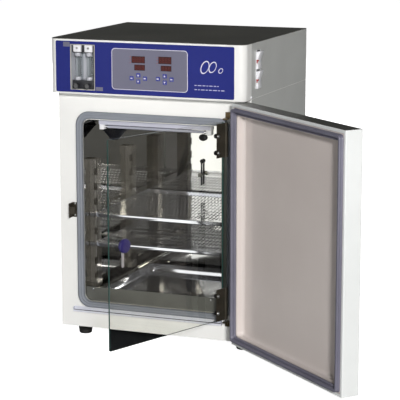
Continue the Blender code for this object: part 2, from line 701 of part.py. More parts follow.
def bracket_outline(arm_low, arm_high, plate_end):
    """An angle bracket seen from its end: a plate on the body and an arm reaching forward."""
    back, plate, tip = -GAP, -0.0025, GLASS_AXIS[1] - 0.0060
    if plate_end > arm_high:
        return [(back, arm_low), (tip, arm_low), (tip, arm_high), (plate, arm_high), (plate, plate_end),
                (back, plate_end)]
    return [(back, arm_high), (tip, arm_high), (tip, arm_low), (plate, arm_low), (plate, plate_end),
            (back, plate_end)]


def glass_brackets():
    x, y = GLASS_AXIS
    low, high = SEAL_OUTER[1:]
    for name, arm_low, arm_high, end in (("glass_bracket_upper", high + 0.0006, high + 0.0036, 0.6620),
                                         ("glass_bracket_lower", low - 0.0036, low - 0.0006, 0.0765)):
        bm = plate_mesh([bracket_outline(arm_low, arm_high, end)], "x", x - 0.0080, x + 0.0060)
        bore = round_mesh((x, y), "z", ROD_RADIUS + 0.0002, arm_low - 0.01, arm_high + 0.01, 16)
        add(name, cut(bm, [bore]), BRASS)


def glass_hinge_rod():
    low, high = SEAL_OUTER[1:]
    bm = round_mesh(GLASS_AXIS, "z", ROD_RADIUS, low - 0.0050, high + 0.0050, 16)
    add("glass_hinge_rod", bm, BRONZE, smooth=40)


def glass_pane(axis):
    edge = rectangle(GLASS_LEFT, GLASS_RIGHT, GLASS_LOW, GLASS_HIGH, 0.003, 2)
    bm = plate_mesh([edge, circle(*KNOB, 0.0045, 16)], "y", GLASS_FRONT, GLASS_BACK)
    add("glass_pane", bm, GLASS, parent=axis, origin=(*GLASS_AXIS, 0))


def glass_straps(axis):
    """Plates on the glass, each rolled into a knuckle round the hinge rod."""
    x, y = GLASS_AXIS
    end, thick, knuckle = x - 0.0370, 0.0015, 0.0055
    start = math.asin(thick / 2 / knuckle)
    arc = [math.pi + start + i * (2 * math.pi - 2 * start) / 16 for i in range(17)]
    plate = y + 0.0002
    edge = [(end, plate + thick / 2), (end, plate - thick / 2)]
    edge += [(x + knuckle * math.cos(a), y + knuckle * math.sin(a)) for a in arc]
    for name, (low, high) in STRAPS.items():
        bm = plate_mesh([edge, circle(x, y, ROD_RADIUS + 0.0002, 16)], "z", low, high)
        add(name, bm, BRONZE, parent=axis, origin=(x, y, 0), smooth=35)


def glass_knob(axis):
    """Round knob, its spindle through the pane, and the latch tongue hanging below it."""
    kx, kz = KNOB
    back, front = GLASS_BACK + 0.0003, GLASS_FRONT - 0.0003
    hub = -front
    profile = [(0, hub + 0.0150), (0.0120, hub + 0.0150), (0.0170, hub + 0.0125), (KNOB_RADIUS, hub + 0.0085),
               (0.0180, hub + 0.0045), (0.0120, hub + 0.0020), (0.0100, hub), (0.0038, hub),
               (0.0038, -back), (0.0075, -back), (0.0075, -back - 0.0018), (0, -back - 0.0018)]
    bm = turned_mesh(profile, 24)
    bm.transform(Matrix.Translation((kx, 0, kz)) @ Matrix.Rotation(math.pi / 2, 4, "X"))
    tongue = plate_mesh([rectangle(kx - 0.0048, kx + 0.0048, kz - TONGUE_LENGTH, kz + 0.006, 0.002, 2)],
                        "y", front - 0.0016, front - 0.0001)
    add("glass_knob", join(bm, [tongue]), KNOB_BLUE, parent=axis, origin=(kx, GLASS_FRONT, kz), smooth=35)


def glass_keeper():
    """Hooked keeper on the body that the latch tongue turns behind."""
    outer, inner, tip = -0.2432, -0.2285, -0.0232
    edge = [(outer, -GAP), (inner, -GAP), (inner, -0.0020), (outer + PLATE, -0.0020), (outer + PLATE, tip),
            (outer, tip)]
    bm = plate_mesh([edge], "z", 0.3470, 0.3880)
    lip = box_mesh((outer + 0.0005, tip, 0.3590), (-0.2262, tip + PLATE, 0.3780))
    add("glass_keeper", join(bm, [lip]), BRONZE)


# ---- outer door ----

def door_hinges():
    x, y = DOOR_AXIS
    upper = box_mesh((0.2520, y - 0.0090, DOOR_HIGH + 0.0006), (0.2785, -0.0015, BODY_TOP - GAP))
    pin = round_mesh((x, y), "z", DOOR_PIN_RADIUS, DOOR_HIGH - 0.0035, DOOR_HIGH + 0.0015, 16)
    add("door_hinge_upper", join(upper, [pin]), DULL_STEEL)
    top, low = DOOR_LOW - 0.0012, DOOR_LOW - 0.0040
    edge = [(-GAP, FOOT_HEIGHT + 0.001), (-GAP, top), (y - 0.0090, top), (y - 0.0090, low), (-0.0028, low),
            (-0.0028, FOOT_HEIGHT + 0.001)]
    bm = plate_mesh([edge], "x", 0.2520, 0.2785)
    pin = round_mesh((x, y), "z", DOOR_PIN_RADIUS, top - 0.001, DOOR_LOW + 0.0035, 16)
    add("door_hinge_lower", join(bm, [pin]), DULL_STEEL)


def door_shell(axis):
    """Folded sheet pan with a return flange round its inner side and holes for the hinge pins."""
    flange = DOOR_FLANGE
    corner = 0.003
    bm = plate_mesh([rectangle(DOOR_LEFT, DOOR_RIGHT, DOOR_OUTER, DOOR_INNER, corner, 3)], "z", DOOR_LOW,
                    DOOR_HIGH)
    hollow = box_mesh((DOOR_LEFT + SHEET, DOOR_OUTER + SHEET, DOOR_LOW + SHEET),
                      (DOOR_RIGHT - SHEET, DOOR_INNER - SHEET, DOOR_HIGH - SHEET))
    mouth = box_mesh((DOOR_LEFT + flange, DOOR_INNER - 0.005, DOOR_LOW + flange),
                     (DOOR_RIGHT - flange, DOOR_INNER + 0.005, DOOR_HIGH - flange))
    holes = [round_mesh(DOOR_AXIS, "z", DOOR_PIN_RADIUS + 0.0003, z - 0.004, z + 0.004, 16)
             for z in (DOOR_LOW, DOOR_HIGH)]
    add("door_shell", cut(bm, [hollow, mouth] + holes), WHITE, parent=axis, origin=(*DOOR_AXIS, 0), smooth=30)


def gasket_inner():
    side, bottom, top = GASKET_MARGIN
    return (DOOR_LEFT + side + GASKET_WIDTH, DOOR_RIGHT - side - GASKET_WIDTH,
            DOOR_LOW + bottom + GASKET_WIDTH, DOOR_HIGH - top - GASKET_WIDTH)


def door_inner_panel(axis):
    """Dished lining: a rim that carries the gasket round a recess that clears the glass door."""
    inset = DOOR_FLANGE + GAP
    rim = DOOR_INNER - 0.0002
    wall = 0.0015
    x0, x1, z0, z1 = gasket_inner()
    shift = GAP
    recess = rectangle(x0 + shift, x1 - shift, z0 + shift, z1 - shift, 0.010, 3)
    dish = rectangle(x0 + shift - wall, x1 - shift + wall, z0 + shift - wall, z1 - shift + wall, 0.0115, 3)
    bm = box_mesh((DOOR_LEFT + inset, rim - wall, DOOR_LOW + inset), (DOOR_RIGHT - inset, rim, DOOR_HIGH - inset))
    bm = join(bm, [plate_mesh([dish], "y", RECESS_FLOOR - wall, rim - 0.0005)])
    bm = cut(bm, [plate_mesh([recess], "y", RECESS_FLOOR, 0.01)])
    add("door_inner_panel", bm, LINING, parent=axis, origin=(*DOOR_AXIS, 0), smooth=30)


def door_gasket(axis):
    side, bottom, top = GASKET_MARGIN
    outer = rectangle(DOOR_LEFT + side, DOOR_RIGHT - side, DOOR_LOW + bottom, DOOR_HIGH - top, 0.010, 3)
    inner = rectangle(*gasket_inner(), 0.0105, 3)
    bm = plate_mesh([outer, inner], "y", DOOR_INNER + 0.0001, -0.0006)
    gasket = add("door_gasket", bm, GASKET, parent=axis, origin=(*DOOR_AXIS, 0), smooth=35)
    bevel = gasket.modifiers.new("soft_edges", "BEVEL")
    bevel.width = 0.0030
    bevel.segments = 1
    bevel.limit_method = "ANGLE"
    bevel.angle_limit = math.radians(60)


def door_insulation(axis):
    gap = 0.0004
    bm = box_mesh((DOOR_LEFT + SHEET + gap, DOOR_OUTER + SHEET + gap, DOOR_LOW + 0.0090),
                  (DOOR_RIGHT - SHEET - gap, RECESS_FLOOR - 0.0019, DOOR_HIGH - 0.0090))
    add("door_insulation", bm, WOOL, parent=axis, origin=(*DOOR_AXIS, 0))


def door_handle(axis):
    """Bar handle on the outer face, its ends bent back to the door."""
    x, reach, r = DOOR_LEFT + 0.070, 0.0230, 0.009
    back = DOOR_OUTER - GAP
    low, high = 0.290, 0.450
    front = back - reach
    path = [(x, back, low)]
    path += [(x, front + r * (1 - math.sin(a)), low + r * (1 - math.cos(a))) for a in
             (i * math.pi / 8 for i in range(5))]
    path += [(x, front + r * (1 - math.cos(a)), high - r * (1 - math.sin(a))) for a in
             (i * math.pi / 8 for i in range(5))]
    path += [(x, back, high)]
    add("door_handle", tube_mesh(path, 0.0050, 3), BRIGHT, parent=axis, origin=(*DOOR_AXIS, 0), smooth=40)


def build_cabinet():
    base_pan()
    feet()
    front_frame()
    cabinet_wrapper()
    insulation_wrap()
    head_base()
    head_shell()
    head_fascia()
    top_cover()
    control_overlay()
    buttons()
    flow_meter()
    rockers()
    control_module()
    service_panel()


def build_chamber():
    chamber_liner()
    chamber_seal()
    front_sill()
    drip_rail()
    side_rack("side_rack_left", -1)
    side_rack("side_rack_right", 1)
    for name, top in SHELF_LEVELS.items():
        shelf(name, top)
    water_pan()
    lamp_fixture()
    fan_wheel()
    fan_motor()
    temperature_probe()


def build_glass_door():
    axis = axis_empty("glass_door_axis", (*GLASS_AXIS, 0), GLASS_OPEN)
    glass_brackets()
    glass_hinge_rod()
    glass_pane(axis)
    glass_straps(axis)
    glass_knob(axis)
    glass_keeper()


def build_outer_door():
    axis = axis_empty("outer_door_axis", (*DOOR_AXIS, 0), DOOR_OPEN)
    door_hinges()
    door_shell(axis)
    door_inner_panel(axis)
    door_gasket(axis)
    door_insulation(axis)
    door_handle(axis)


def centre_on_origin():
    """Shift the whole object so the origin is its box's middle, on the floor."""
    bpy.context.view_layer.update()
    graph = bpy.context.evaluated_depsgraph_get()
    points = []
    for part in PARTS.objects:
        if part.type == "MESH":
            solid = part.evaluated_get(graph)
            points += [part.matrix_world @ v.co for v in solid.data.vertices]
    middle = [(min(p[i] for p in points) + max(p[i] for p in points)) / 2 for i in range(2)]
    CABINET.location = (-middle[0], -middle[1], 0)


build_cabinet()
build_chamber()
build_glass_door()
build_outer_door()
centre_on_origin()
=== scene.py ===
"""Looks for the laboratory incubator: detailed pieces, procedural materials, studio and camera.

Points are written in cabinet coordinates: x from the cabinet's middle, y backwards from the body's
front face, z up from the floor.  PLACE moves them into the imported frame.  Pieces of the two doors
are drawn with their door closed and turned open with it.
"""

import math

import bmesh
import bpy
from mathutils import Matrix, Vector


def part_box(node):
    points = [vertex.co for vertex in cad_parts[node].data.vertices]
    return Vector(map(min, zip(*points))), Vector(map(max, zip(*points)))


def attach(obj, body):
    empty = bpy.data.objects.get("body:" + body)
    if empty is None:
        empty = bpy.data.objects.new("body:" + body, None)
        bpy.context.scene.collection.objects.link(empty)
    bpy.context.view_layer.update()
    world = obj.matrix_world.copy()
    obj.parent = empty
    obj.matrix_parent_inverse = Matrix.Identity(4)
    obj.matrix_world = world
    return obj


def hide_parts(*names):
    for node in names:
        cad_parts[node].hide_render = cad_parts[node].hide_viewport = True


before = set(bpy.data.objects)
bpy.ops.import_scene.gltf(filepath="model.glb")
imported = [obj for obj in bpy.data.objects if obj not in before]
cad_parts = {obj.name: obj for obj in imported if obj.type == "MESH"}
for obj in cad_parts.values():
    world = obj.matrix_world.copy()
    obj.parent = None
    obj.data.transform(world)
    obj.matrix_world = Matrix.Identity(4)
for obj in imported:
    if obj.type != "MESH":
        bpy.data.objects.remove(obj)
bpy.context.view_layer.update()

# Where the cabinet stands in the frame, and how far its doors are open at rest
BASE_PAN_CORNER = Vector((-0.2785, 0.0018, 0.0350))
PLACE = Matrix.Translation(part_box("base_pan")[0] - BASE_PAN_CORNER)
DOOR_AXIS = Vector((0.26935, -0.0414, 0))
DOOR_OPEN = math.radians(139.2)
GLASS_AXIS = Vector((0.2165, -0.0185, 0))
GLASS_OPEN = math.radians(68.5)

HALF = 0.280
HEAD_FRONT = -0.051
BODY_DEPTH = 0.4765
PANEL_FACE = -0.0520


def opened(axis, angle):
    return PLACE @ Matrix.Translation(axis) @ Matrix.Rotation(angle, 4, "Z") @ Matrix.Translation(-axis)


PLACES = {"outer_door": opened(DOOR_AXIS, DOOR_OPEN), "glass_door": opened(GLASS_AXIS, GLASS_OPEN),
          "latch_knob": opened(GLASS_AXIS, GLASS_OPEN)}

# ---- materials ----


def tint(*display):
    """A linear colour from red, green and blue display values of 0 to 255."""
    return [((c / 255 + 0.055) / 1.055) ** 2.4 if c > 10 else c / 255 / 12.92 for c in display] + [1.0]


def blank(name):
    """A new material with its node tree and its shader."""
    made = bpy.data.materials.new(name)
    made.use_nodes = True
    return made, made.node_tree, made.node_tree.nodes["Principled BSDF"]


def feed(made, inputs):
    """Fills a node's sockets by name or index, or links them where the value is itself a socket."""
    for key, value in inputs.items():
        if isinstance(value, bpy.types.NodeSocket):
            made.id_data.links.new(value, made.inputs[key])
        else:
            made.inputs[key].default_value = value


def node(tree, kind, inputs, **settings):
    made = tree.nodes.new(kind)
    for key, value in settings.items():
        setattr(made, key, value)
    feed(made, inputs)
    return made.outputs


def coordinates(tree, kind="Object"):
    return node(tree, "ShaderNodeTexCoord", {})[kind]


def noise(tree, place, scale, detail=2.0):
    return node(tree, "ShaderNodeTexNoise", {"Vector": place, "Scale": scale, "Detail": detail})["Fac"]


def spread(tree, value, low, high, to_low, to_high):
    """A value's range from low to high, carried to another range and held at its ends."""
    return node(tree, "ShaderNodeMapRange", {"Value": value, "From Min": low, "From Max": high,
                                             "To Min": to_low, "To Max": to_high})["Result"]


def calculated(tree, operation, first, second):
    return node(tree, "ShaderNodeMath", {0: first, 1: second}, operation=operation)["Value"]


def blend_colours(tree, factor, first, second):
    return node(tree, "ShaderNodeMix", {"Factor": factor, "A": first, "B": second},
                data_type="RGBA")["Result"]


def bumped(tree, height, strength, depth, under=None):
    inputs = {"Strength": strength, "Distance": depth, "Height": height}
    if under is not None:
        inputs["Normal"] = under
    return node(tree, "ShaderNodeBump", inputs)["Normal"]


def finish(name, dark, light, rough, metallic=0.0, cloud=5.0, grain=900, bump=0.12, depth=0.0003,
           stretch=(1, 1, 1), wave=0.0, wave_scale=7.0, coat=0.0, speck=0.0, top=None):
    """A surface with clouded colour, grained roughness and bump.

    wave adds long waves, speck dark grains, and top a second colour on faces that look up, which paints shade
    on tops that get no light from above.
    """
    made, tree, shader = blank(name)
    place = coordinates(tree)
    stretched = node(tree, "ShaderNodeMapping", {"Vector": place, "Scale": stretch})["Vector"]
    clouds = spread(tree, noise(tree, place, cloud, 4.0), 0.3, 0.7, 0.0, 1.0)
    colour = blend_colours(tree, clouds, tint(*dark), tint(*light))
    fine = noise(tree, stretched, grain, 3.0)
    if speck:
        dots = spread(tree, fine, 0.62, 0.72, 0.0, speck)
        colour = blend_colours(tree, dots, colour, tint(*(c * 0.4 for c in dark)))
    # Painted shade: faces that look up take the darker top colour
    if top is not None:
        normal = node(tree, "ShaderNodeNewGeometry", {})["Normal"]
        upward = node(tree, "ShaderNodeSeparateXYZ", {"Vector": normal})["Z"]
        colour = blend_colours(tree, spread(tree, upward, 0.6, 0.8, 0.0, 1.0), colour, tint(*top))
    waves = bumped(tree, noise(tree, place, wave_scale, 1.0), wave, 0.01) if wave else None
    feed(shader, {"Base Color": colour, "Roughness": spread(tree, fine, 0.3, 0.7, *rough),
                  "Normal": bumped(tree, fine, bump, depth, waves), "Metallic": metallic,
                  "Coat Weight": coat, "Coat Roughness": 0.08})
    return made


def clear_finish(name, colour, shine=0.04, rough=0.02, wave=0.02):
    """A clear pane or block: tinted see-through with a Fresnel reflection, faintly wavy."""
    made, tree, shader = blank(name)
    tree.nodes.remove(shader)
    place = coordinates(tree)
    smudge = spread(tree, noise(tree, place, 9.0, 3.0), 0.35, 0.65, 0.0, 1.0)
    colours = blend_colours(tree, smudge, tint(*colour), tint(*(c * 0.985 for c in colour)))
    through = node(tree, "ShaderNodeBsdfTransparent", {"Color": colours})
    gloss = node(tree, "ShaderNodeBsdfGlossy", {
        "Roughness": spread(tree, smudge, 0.0, 1.0, rough, rough * 2.5),
        "Normal": bumped(tree, noise(tree, place, 3.0, 0.0), wave, 0.005)})
    facing = node(tree, "ShaderNodeLayerWeight", {})["Facing"]
    steep = spread(tree, calculated(tree, "POWER", facing, 5.0), 0.0, 1.0, shine, 1.0)
    outside = calculated(tree, "SUBTRACT", 1.0, node(tree, "ShaderNodeNewGeometry", {})["Backfacing"])
    mixed = node(tree, "ShaderNodeMixShader", {0: calculated(tree, "MULTIPLY", steep, outside),
                                               1: through["BSDF"], 2: gloss["BSDF"]})
    feed(tree.nodes["Material Output"], {"Surface": mixed["Shader"]})
    return made


BRUSHED = (0.03, 1, 1)

COAT = finish("white_powder_coat", (233, 234, 232), (241, 241, 239), (0.30, 0.42), grain=1300, bump=0.14)
# Painted shade: a greyer copy of the white coat for the wrapper and head shell, so the sides look darker than
# the lit front
SIDE_SHADE_COAT = finish("white_coat_painted_side_shade", (188, 190, 188), (198, 200, 198), (0.30, 0.42), grain=1300,
                    bump=0.14)
# Painted shade: the door's white coat turns dark grey on its top faces, standing in for a top that gets no
# light from above
DOOR_COAT_WITH_TOP_SHADE = finish("door_coat_painted_top_shade", (220, 223, 223), (228, 231, 231), (0.26, 0.38), grain=1300,
                   top=(78, 78, 74))
# Painted shade: the top cover takes a dark grey that stands in for its top being unlit; the specks are grain
TOP_SHADE_COAT = finish("dark_grey_coat", (80, 80, 76), (92, 92, 87), (0.42, 0.6), bump=0.3, speck=0.25)
MIRROR = finish("mirror_steel", (216, 215, 210), (224, 223, 219), (0.015, 0.035), 1.0, grain=300, bump=0.002,
                wave=0.02, wave_scale=3.0)
RACK_STEEL = finish("rack_steel", (158, 154, 146), (186, 182, 174), (0.08, 0.16), 0.84, grain=400, bump=0.01,
                    wave=0.05, wave_scale=18)
SHELF_STEEL = finish("bright_steel_wire", (206, 207, 212), (222, 223, 228), (0.05, 0.10), 0.92, grain=500,
                     bump=0.006, wave=0.04, wave_scale=15)
SATIN = finish("satin_steel", (104, 103, 97), (126, 125, 118), (0.26, 0.38), 1.0,
               stretch=BRUSHED, cloud=12)
SILL = finish("brushed_sill", (92, 93, 88), (108, 109, 104), (0.3, 0.42), 0.35,
              stretch=BRUSHED, cloud=12)
ZINC = finish("zinc_steel", (150, 150, 150), (186, 186, 184), (0.28, 0.42), 1.0, grain=260, bump=0.06,
              cloud=30)
CHROME = finish("screw_chrome", (215, 215, 218), (238, 238, 240), (0.10, 0.18), 1.0, bump=0.04)
ALUMINIUM = finish("anodised_aluminium", (196, 197, 212), (214, 215, 228), (0.25, 0.36), 0.35,
                   bump=0.08, stretch=BRUSHED)
BRONZE = finish("dark_bronze_steel", (58, 54, 46), (78, 72, 62), (0.32, 0.5), 0.55, grain=700, bump=0.14,
                cloud=24)
BRASS = finish("brass", (92, 78, 58), (110, 94, 70), (0.22, 0.34), 1.0, grain=800, bump=0.08, cloud=40)
SILICONE = finish("silicone_seal", (120, 125, 134), (134, 139, 148), (0.42, 0.56), grain=600, bump=0.10)
GASKET = finish("magnetic_gasket", (98, 97, 112), (112, 111, 127), (0.34, 0.5), grain=800,
                coat=0.1)
LINING = finish("door_lining", (204, 195, 191), (213, 205, 201), (0.30, 0.42), grain=500, bump=0.03,
                cloud=2.5, wave=0.03, coat=0.7)
RUBBER = finish("foot_rubber", (18, 18, 18), (28, 28, 28), (0.6, 0.8), bump=0.3, depth=0.0005)
OVERLAY = finish("blue_overlay", (30, 38, 112), (36, 44, 122), (0.24, 0.34), grain=2200, bump=0.10, cloud=3)
MEMBRANE = finish("grey_membrane", (106, 106, 124), (114, 114, 132), (0.30, 0.42), grain=2400, bump=0.16)
MEMBRANE_DARK = finish("membrane_dark_print", (84, 84, 106), (92, 92, 114), (0.3, 0.42), grain=1500,
                       bump=0.06)
PRINT = finish("pale_print", (206, 204, 222), (224, 222, 236), (0.35, 0.45), grain=1500, bump=0.06)
SOFT_PRINT = finish("faded_print", (176, 178, 214), (192, 194, 226), (0.35, 0.45), grain=1500, bump=0.05)
BUTTON = finish("button_film", (40, 48, 138), (50, 58, 152), (0.25, 0.36), grain=1800, bump=0.08)
KNOB = finish("knob_blue", (38, 33, 88), (48, 43, 102), (0.20, 0.32), bump=0.06, coat=0.3)
BLACK = finish("black_plastic", (20, 20, 22), (32, 32, 34), (0.26, 0.4), grain=1400)
METER_GREY = finish("meter_pocket", (168, 170, 178), (188, 190, 198), (0.26, 0.4), bump=0.06)
DARK_BLOCK = finish("meter_foot", (28, 29, 34), (38, 39, 45), (0.3, 0.42), grain=1200, bump=0.08)
KNOB_BLACK = finish("valve_knob_black", (14, 14, 16), (24, 24, 27), (0.16, 0.26), grain=1200, bump=0.05,
                    coat=0.8)
RAIL = finish("rail_aluminium", (218, 220, 230), (232, 234, 243), (0.25, 0.36), 0.1, bump=0.06,
              stretch=BRUSHED)
# Dark finish of the hinge rod, also used for the strip of painted shade beside it
DARK_ROD_AND_SHADE_STRIP = finish("hinge_rod_and_shade_strip", (46, 48, 43), (58, 60, 54), (0.34, 0.5), 0.4, grain=700, cloud=24)
CHANNEL = finish("lamp_channel", (178, 179, 194), (190, 191, 206), (0.3, 0.42), grain=1000, bump=0.05)
PALE = finish("white_plastic", (226, 227, 232), (240, 240, 244), (0.26, 0.38), grain=1200, bump=0.06)
WOOL = finish("mineral_wool", (170, 150, 105), (198, 180, 134), (0.85, 0.98), grain=260, bump=0.9,
              depth=0.002)
RED = finish("float_red", (150, 26, 20), (176, 36, 26), (0.25, 0.36), bump=0.06)
WINDOW = finish("display_window", (48, 9, 9), (58, 12, 12), (0.16, 0.24), grain=1500, bump=0.03, coat=0.2)
SEGMENT = finish("display_segment", (92, 24, 20), (104, 30, 25), (0.3, 0.4), grain=1500, bump=0.05)
BEIGE = finish("meter_bezel", (180, 176, 166), (198, 194, 184), (0.3, 0.42), 0.2, bump=0.06)
TUBE_WHITE = finish("lamp_glass", (158, 160, 174), (176, 178, 192), (0.08, 0.14), grain=400, bump=0.02,
                    coat=0.4)
for printed in (OVERLAY, MEMBRANE, WINDOW, SEGMENT):
    feed(printed.node_tree.nodes["Principled BSDF"], {"Specular IOR Level": 0.15})
GLASS = clear_finish("door_glass", (253, 253, 251))
GLASS_EDGE = finish("glass_edge", (38, 66, 62), (60, 92, 86), (0.08, 0.16), grain=300, bump=0.03, coat=0.6)
ACRYLIC = clear_finish("clear_acrylic", (238, 240, 240), wave=0.01)

# ---- shapes ----


def linked(name, data):
    """An object of this data, in the scene."""
    item = bpy.data.objects.new(name, data)
    bpy.context.scene.collection.objects.link(item)
    return item


def block(low, high, soft=0.0, segments=2):
    """A box, its edges rounded where soft is given."""
    bm = bmesh.new()
    low, high = Vector(low), Vector(high)
    place = Matrix.Translation((low + high) / 2) @ Matrix.Diagonal((*(high - low), 1))
    bmesh.ops.create_cube(bm, size=1, matrix=place)
    if soft:
        bmesh.ops.bevel(bm, geom=list(bm.edges), offset=soft, segments=segments, profile=0.5, affect="EDGES")
    return bm


def arc_corner(u, v, radius, start, steps):
    """Points of a quarter circle that ends a rectangle's corner, from an angle in quarter turns."""
    return [(u + radius * math.cos(a), v + radius * math.sin(a))
            for a in ((start + i / steps) * math.pi / 2 for i in range(steps + 1))]


def rectangle(x0, x1, z0, z1, radius=0.0005, steps=5):
    """An outline with round corners, starting at its high right corner."""
    r = radius
    return (arc_corner(x1 - r, z1 - r, r, 0, steps) + arc_corner(x0 + r, z1 - r, r, 1, steps)
            + arc_corner(x0 + r, z0 + r, r, 2, steps) + arc_corner(x1 - r, z0 + r, r, 3, steps))


def inset(area, by):
    x0, x1, z0, z1 = area
    return x0 + by, x1 - by, z0 + by, z1 - by


def centred(u, v, half_u, half_v, radius, steps):
    return rectangle(u - half_u, u + half_u, v - half_v, v + half_v, radius, steps)


def circle(u, v, radius, steps=24, wide=1.0):
    """An outline round a point, an oval where wide isn't 1."""
    return [(u + wide * radius * math.cos(a), v + radius * math.sin(a))
            for a in (2 * math.pi * i / steps for i in range(steps))]


def skin(rings, closed=False, cap_start=False, cap_end=False):
    """Faces between rings of points that run round a shape."""
    bm = bmesh.new()
    made = [[bm.verts.new(point) for point in ring] for ring in rings]
    pairs = list(zip(made, made[1:])) + ([(made[-1], made[0])] if closed else [])
    for one, two in pairs:
        for i in range(len(one)):
            j = (i + 1) % len(one)
            bm.faces.new((one[i], one[j], two[j], two[i]))
    if cap_start:
        bm.faces.new(list(reversed(made[0])))
    if cap_end:
        bm.faces.new(made[-1])
    bmesh.ops.recalc_face_normals(bm, faces=bm.faces)
    return bm


FACING = {"up": Matrix.Identity(4), "front": Matrix.Rotation(math.pi / 2, 4, "X"),
          "back": Matrix.Rotation(-math.pi / 2, 4, "X"), "right": Matrix.Rotation(math.pi / 2, 4, "Y"),
          "down": Matrix.Rotation(math.pi, 4, "X")}


def turned(profile, at, facing="up", steps=32, flutes=0, flute_depth=0.0):
    """A (radius, height) profile turned about an axis, with flutes round it where they are given."""
    rings = []
    for radius, height in profile:
        ring = []
        for i in range(steps):
            angle = 2 * math.pi * i / steps
            r = radius
            if flutes and radius > 0.6 * max(p[0] for p in profile):
                r -= flute_depth * (0.5 - 0.5 * math.cos(flutes * angle))
            ring.append((max(r, 1e-5) * math.cos(angle), max(r, 1e-5) * math.sin(angle), height))
        rings.append(ring)
    bm = skin(rings, cap_start=True, cap_end=True)
    bm.transform(Matrix.Translation(at) @ FACING[facing])
    return bm


def from_curve(curve):
    guide = linked("guide", curve)
    bpy.context.view_layer.update()
    mesh = bpy.data.meshes.new_from_object(guide.evaluated_get(bpy.context.evaluated_depsgraph_get()))
    bpy.data.objects.remove(guide, do_unlink=True)
    bm = bmesh.new()
    bm.from_mesh(mesh)
    bpy.data.meshes.remove(mesh)
    bmesh.ops.remove_doubles(bm, verts=bm.verts, dist=0.000002)
    bmesh.ops.recalc_face_normals(bm, faces=bm.faces)
    return bm


def plate(outlines, axis, start, end, soft=0.0):
    """A flat outline with holes, thickened between two stations; its (u, v) are (x, z), (x, y) or (y, z)."""
    curve = bpy.data.curves.new("outline", "CURVE")
    curve.dimensions = "2D"
    curve.fill_mode = "BOTH"
    curve.extrude = (end - start) / 2 - soft
    curve.bevel_depth = soft
    curve.bevel_resolution = 1
    curve.offset = -soft
    for i, outline in enumerate(outlines):
        spline = curve.splines.new("POLY")
        spline.points.add(len(outline) - 1)
        spline.use_cyclic_u = True
        for point, (u, v) in zip(spline.points, reversed(outline) if i else outline):
            point.co = (u, v, 0, 1)
    bm = from_curve(curve)
    middle = (start + end) / 2
    frames = {"z": Matrix(((1, 0, 0, 0), (0, 1, 0, 0), (0, 0, 1, middle), (0, 0, 0, 1))),
              "y": Matrix(((1, 0, 0, 0), (0, 0, -1, middle), (0, 1, 0, 0), (0, 0, 0, 1))),
              "x": Matrix(((0, 0, 1, middle), (1, 0, 0, 0), (0, 1, 0, 0), (0, 0, 0, 1)))}
    bm.transform(frames[axis])
    return bm


def bar(points, radius, resolution=3):
    """A round bar along a list of points."""
    curve = bpy.data.curves.new("bar", "CURVE")
    curve.dimensions = "3D"
    curve.bevel_depth = radius
    curve.bevel_resolution = resolution
    curve.use_fill_caps = True
    spline = curve.splines.new("POLY")
    spline.points.add(len(points) - 1)
    for point, at in zip(spline.points, points):
        point.co = (*at, 1)
    return from_curve(curve)


def frame_sweep(inner, outer, profile, steps=8):
    """A closed section run round a frame.

    inner and outer are (x0, x1, z0, z1, corner radius), and the section's points are
    (share of the way from inner to outer, y).
    """
    rings = []
    for share, y in profile:
        edge = [a + (b - a) * share for a, b in zip(inner, outer)]
        rings.append([(u, y, v) for u, v in rectangle(*edge, steps=steps)])
    return skin(rings, closed=True)


def screw(at, facing, radius=0.0042, tall=0.0024):
    """A pan-head screw with a round recess."""
    section = [(0.98, 0.0), (1, 0.3), (0.9, 0.72), (0.66, 0.94), (0.42, 1), (0.36, 0.5), (0.05, 0.45)]
    return turned([(radius * out, tall * up) for out, up in section], at, facing, 20)


def piece(name, shapes, finishes, body="cabinet", instead_of=(), crease=35):
    """One visual piece from shapes, each a bmesh or a (bmesh, material index), riding on a body."""
    whole = bmesh.new()
    for shape in shapes:
        bm, index = shape if isinstance(shape, tuple) else (shape, 0)
        for face in bm.faces:
            face.material_index = index
        step = bpy.data.meshes.new("step")
        bm.to_mesh(step)
        bm.free()
        whole.from_mesh(step)
        bpy.data.meshes.remove(step)
    whole.transform(PLACES.get(body, PLACE))
    mesh = bpy.data.meshes.new(name)
    whole.to_mesh(mesh)
    whole.free()
    for made in finishes:
        mesh.materials.append(made)
    mesh.shade_smooth()
    mesh.set_sharp_from_angle(angle=math.radians(crease))
    item = linked(name, mesh)
    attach(item, body)
    if instead_of:
        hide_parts(*instead_of)
    return item


# ---- CAD nodes that stay, with their finish ----

KEPT = {
    COAT: ("base_pan", "front_frame", "head_base", "head_fascia"),
    SIDE_SHADE_COAT: ("cabinet_wrapper", "head_shell"),
    DOOR_COAT_WITH_TOP_SHADE: ("door_shell",),
    TOP_SHADE_COAT: ("top_cover",),
    WOOL: ("insulation_wrap", "door_insulation"),
    MIRROR: ("chamber_liner",),
    RACK_STEEL: ("side_rack_left", "side_rack_right"),
    SILL: ("front_sill",),
    ZINC: ("door_hinge_upper", "door_hinge_lower", "fan_motor", "control_module"),
    ALUMINIUM: ("door_handle",),
    RAIL: ("drip_rail",),
    METER_GREY: ("flowmeter_pocket",),
    BRONZE: ("glass_strap_upper", "glass_strap_lower", "glass_keeper"),
    BRASS: ("glass_bracket_upper", "glass_bracket_lower"),
    OVERLAY: ("control_overlay",),
    BLACK: ("temperature_probe", "service_panel"),
    RED: ("float_left", "float_right"),
    ACRYLIC: ("flowmeter_tube_left", "flowmeter_tube_right"),
}


def dress_kept_nodes():
    for made, names in KEPT.items():
        for name in names:
            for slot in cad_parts[name].material_slots:
                slot.material = made


# ---- chamber ----


CHAMBER = (-0.2065, 0.2065, 0.1120, 0.6220)
CHAMBER_BACK = 0.4040
CHAMBER_CORNER = 0.0200
SHAFT_HOLE = 0.0065
SKIN_DEPTH = 0.00015


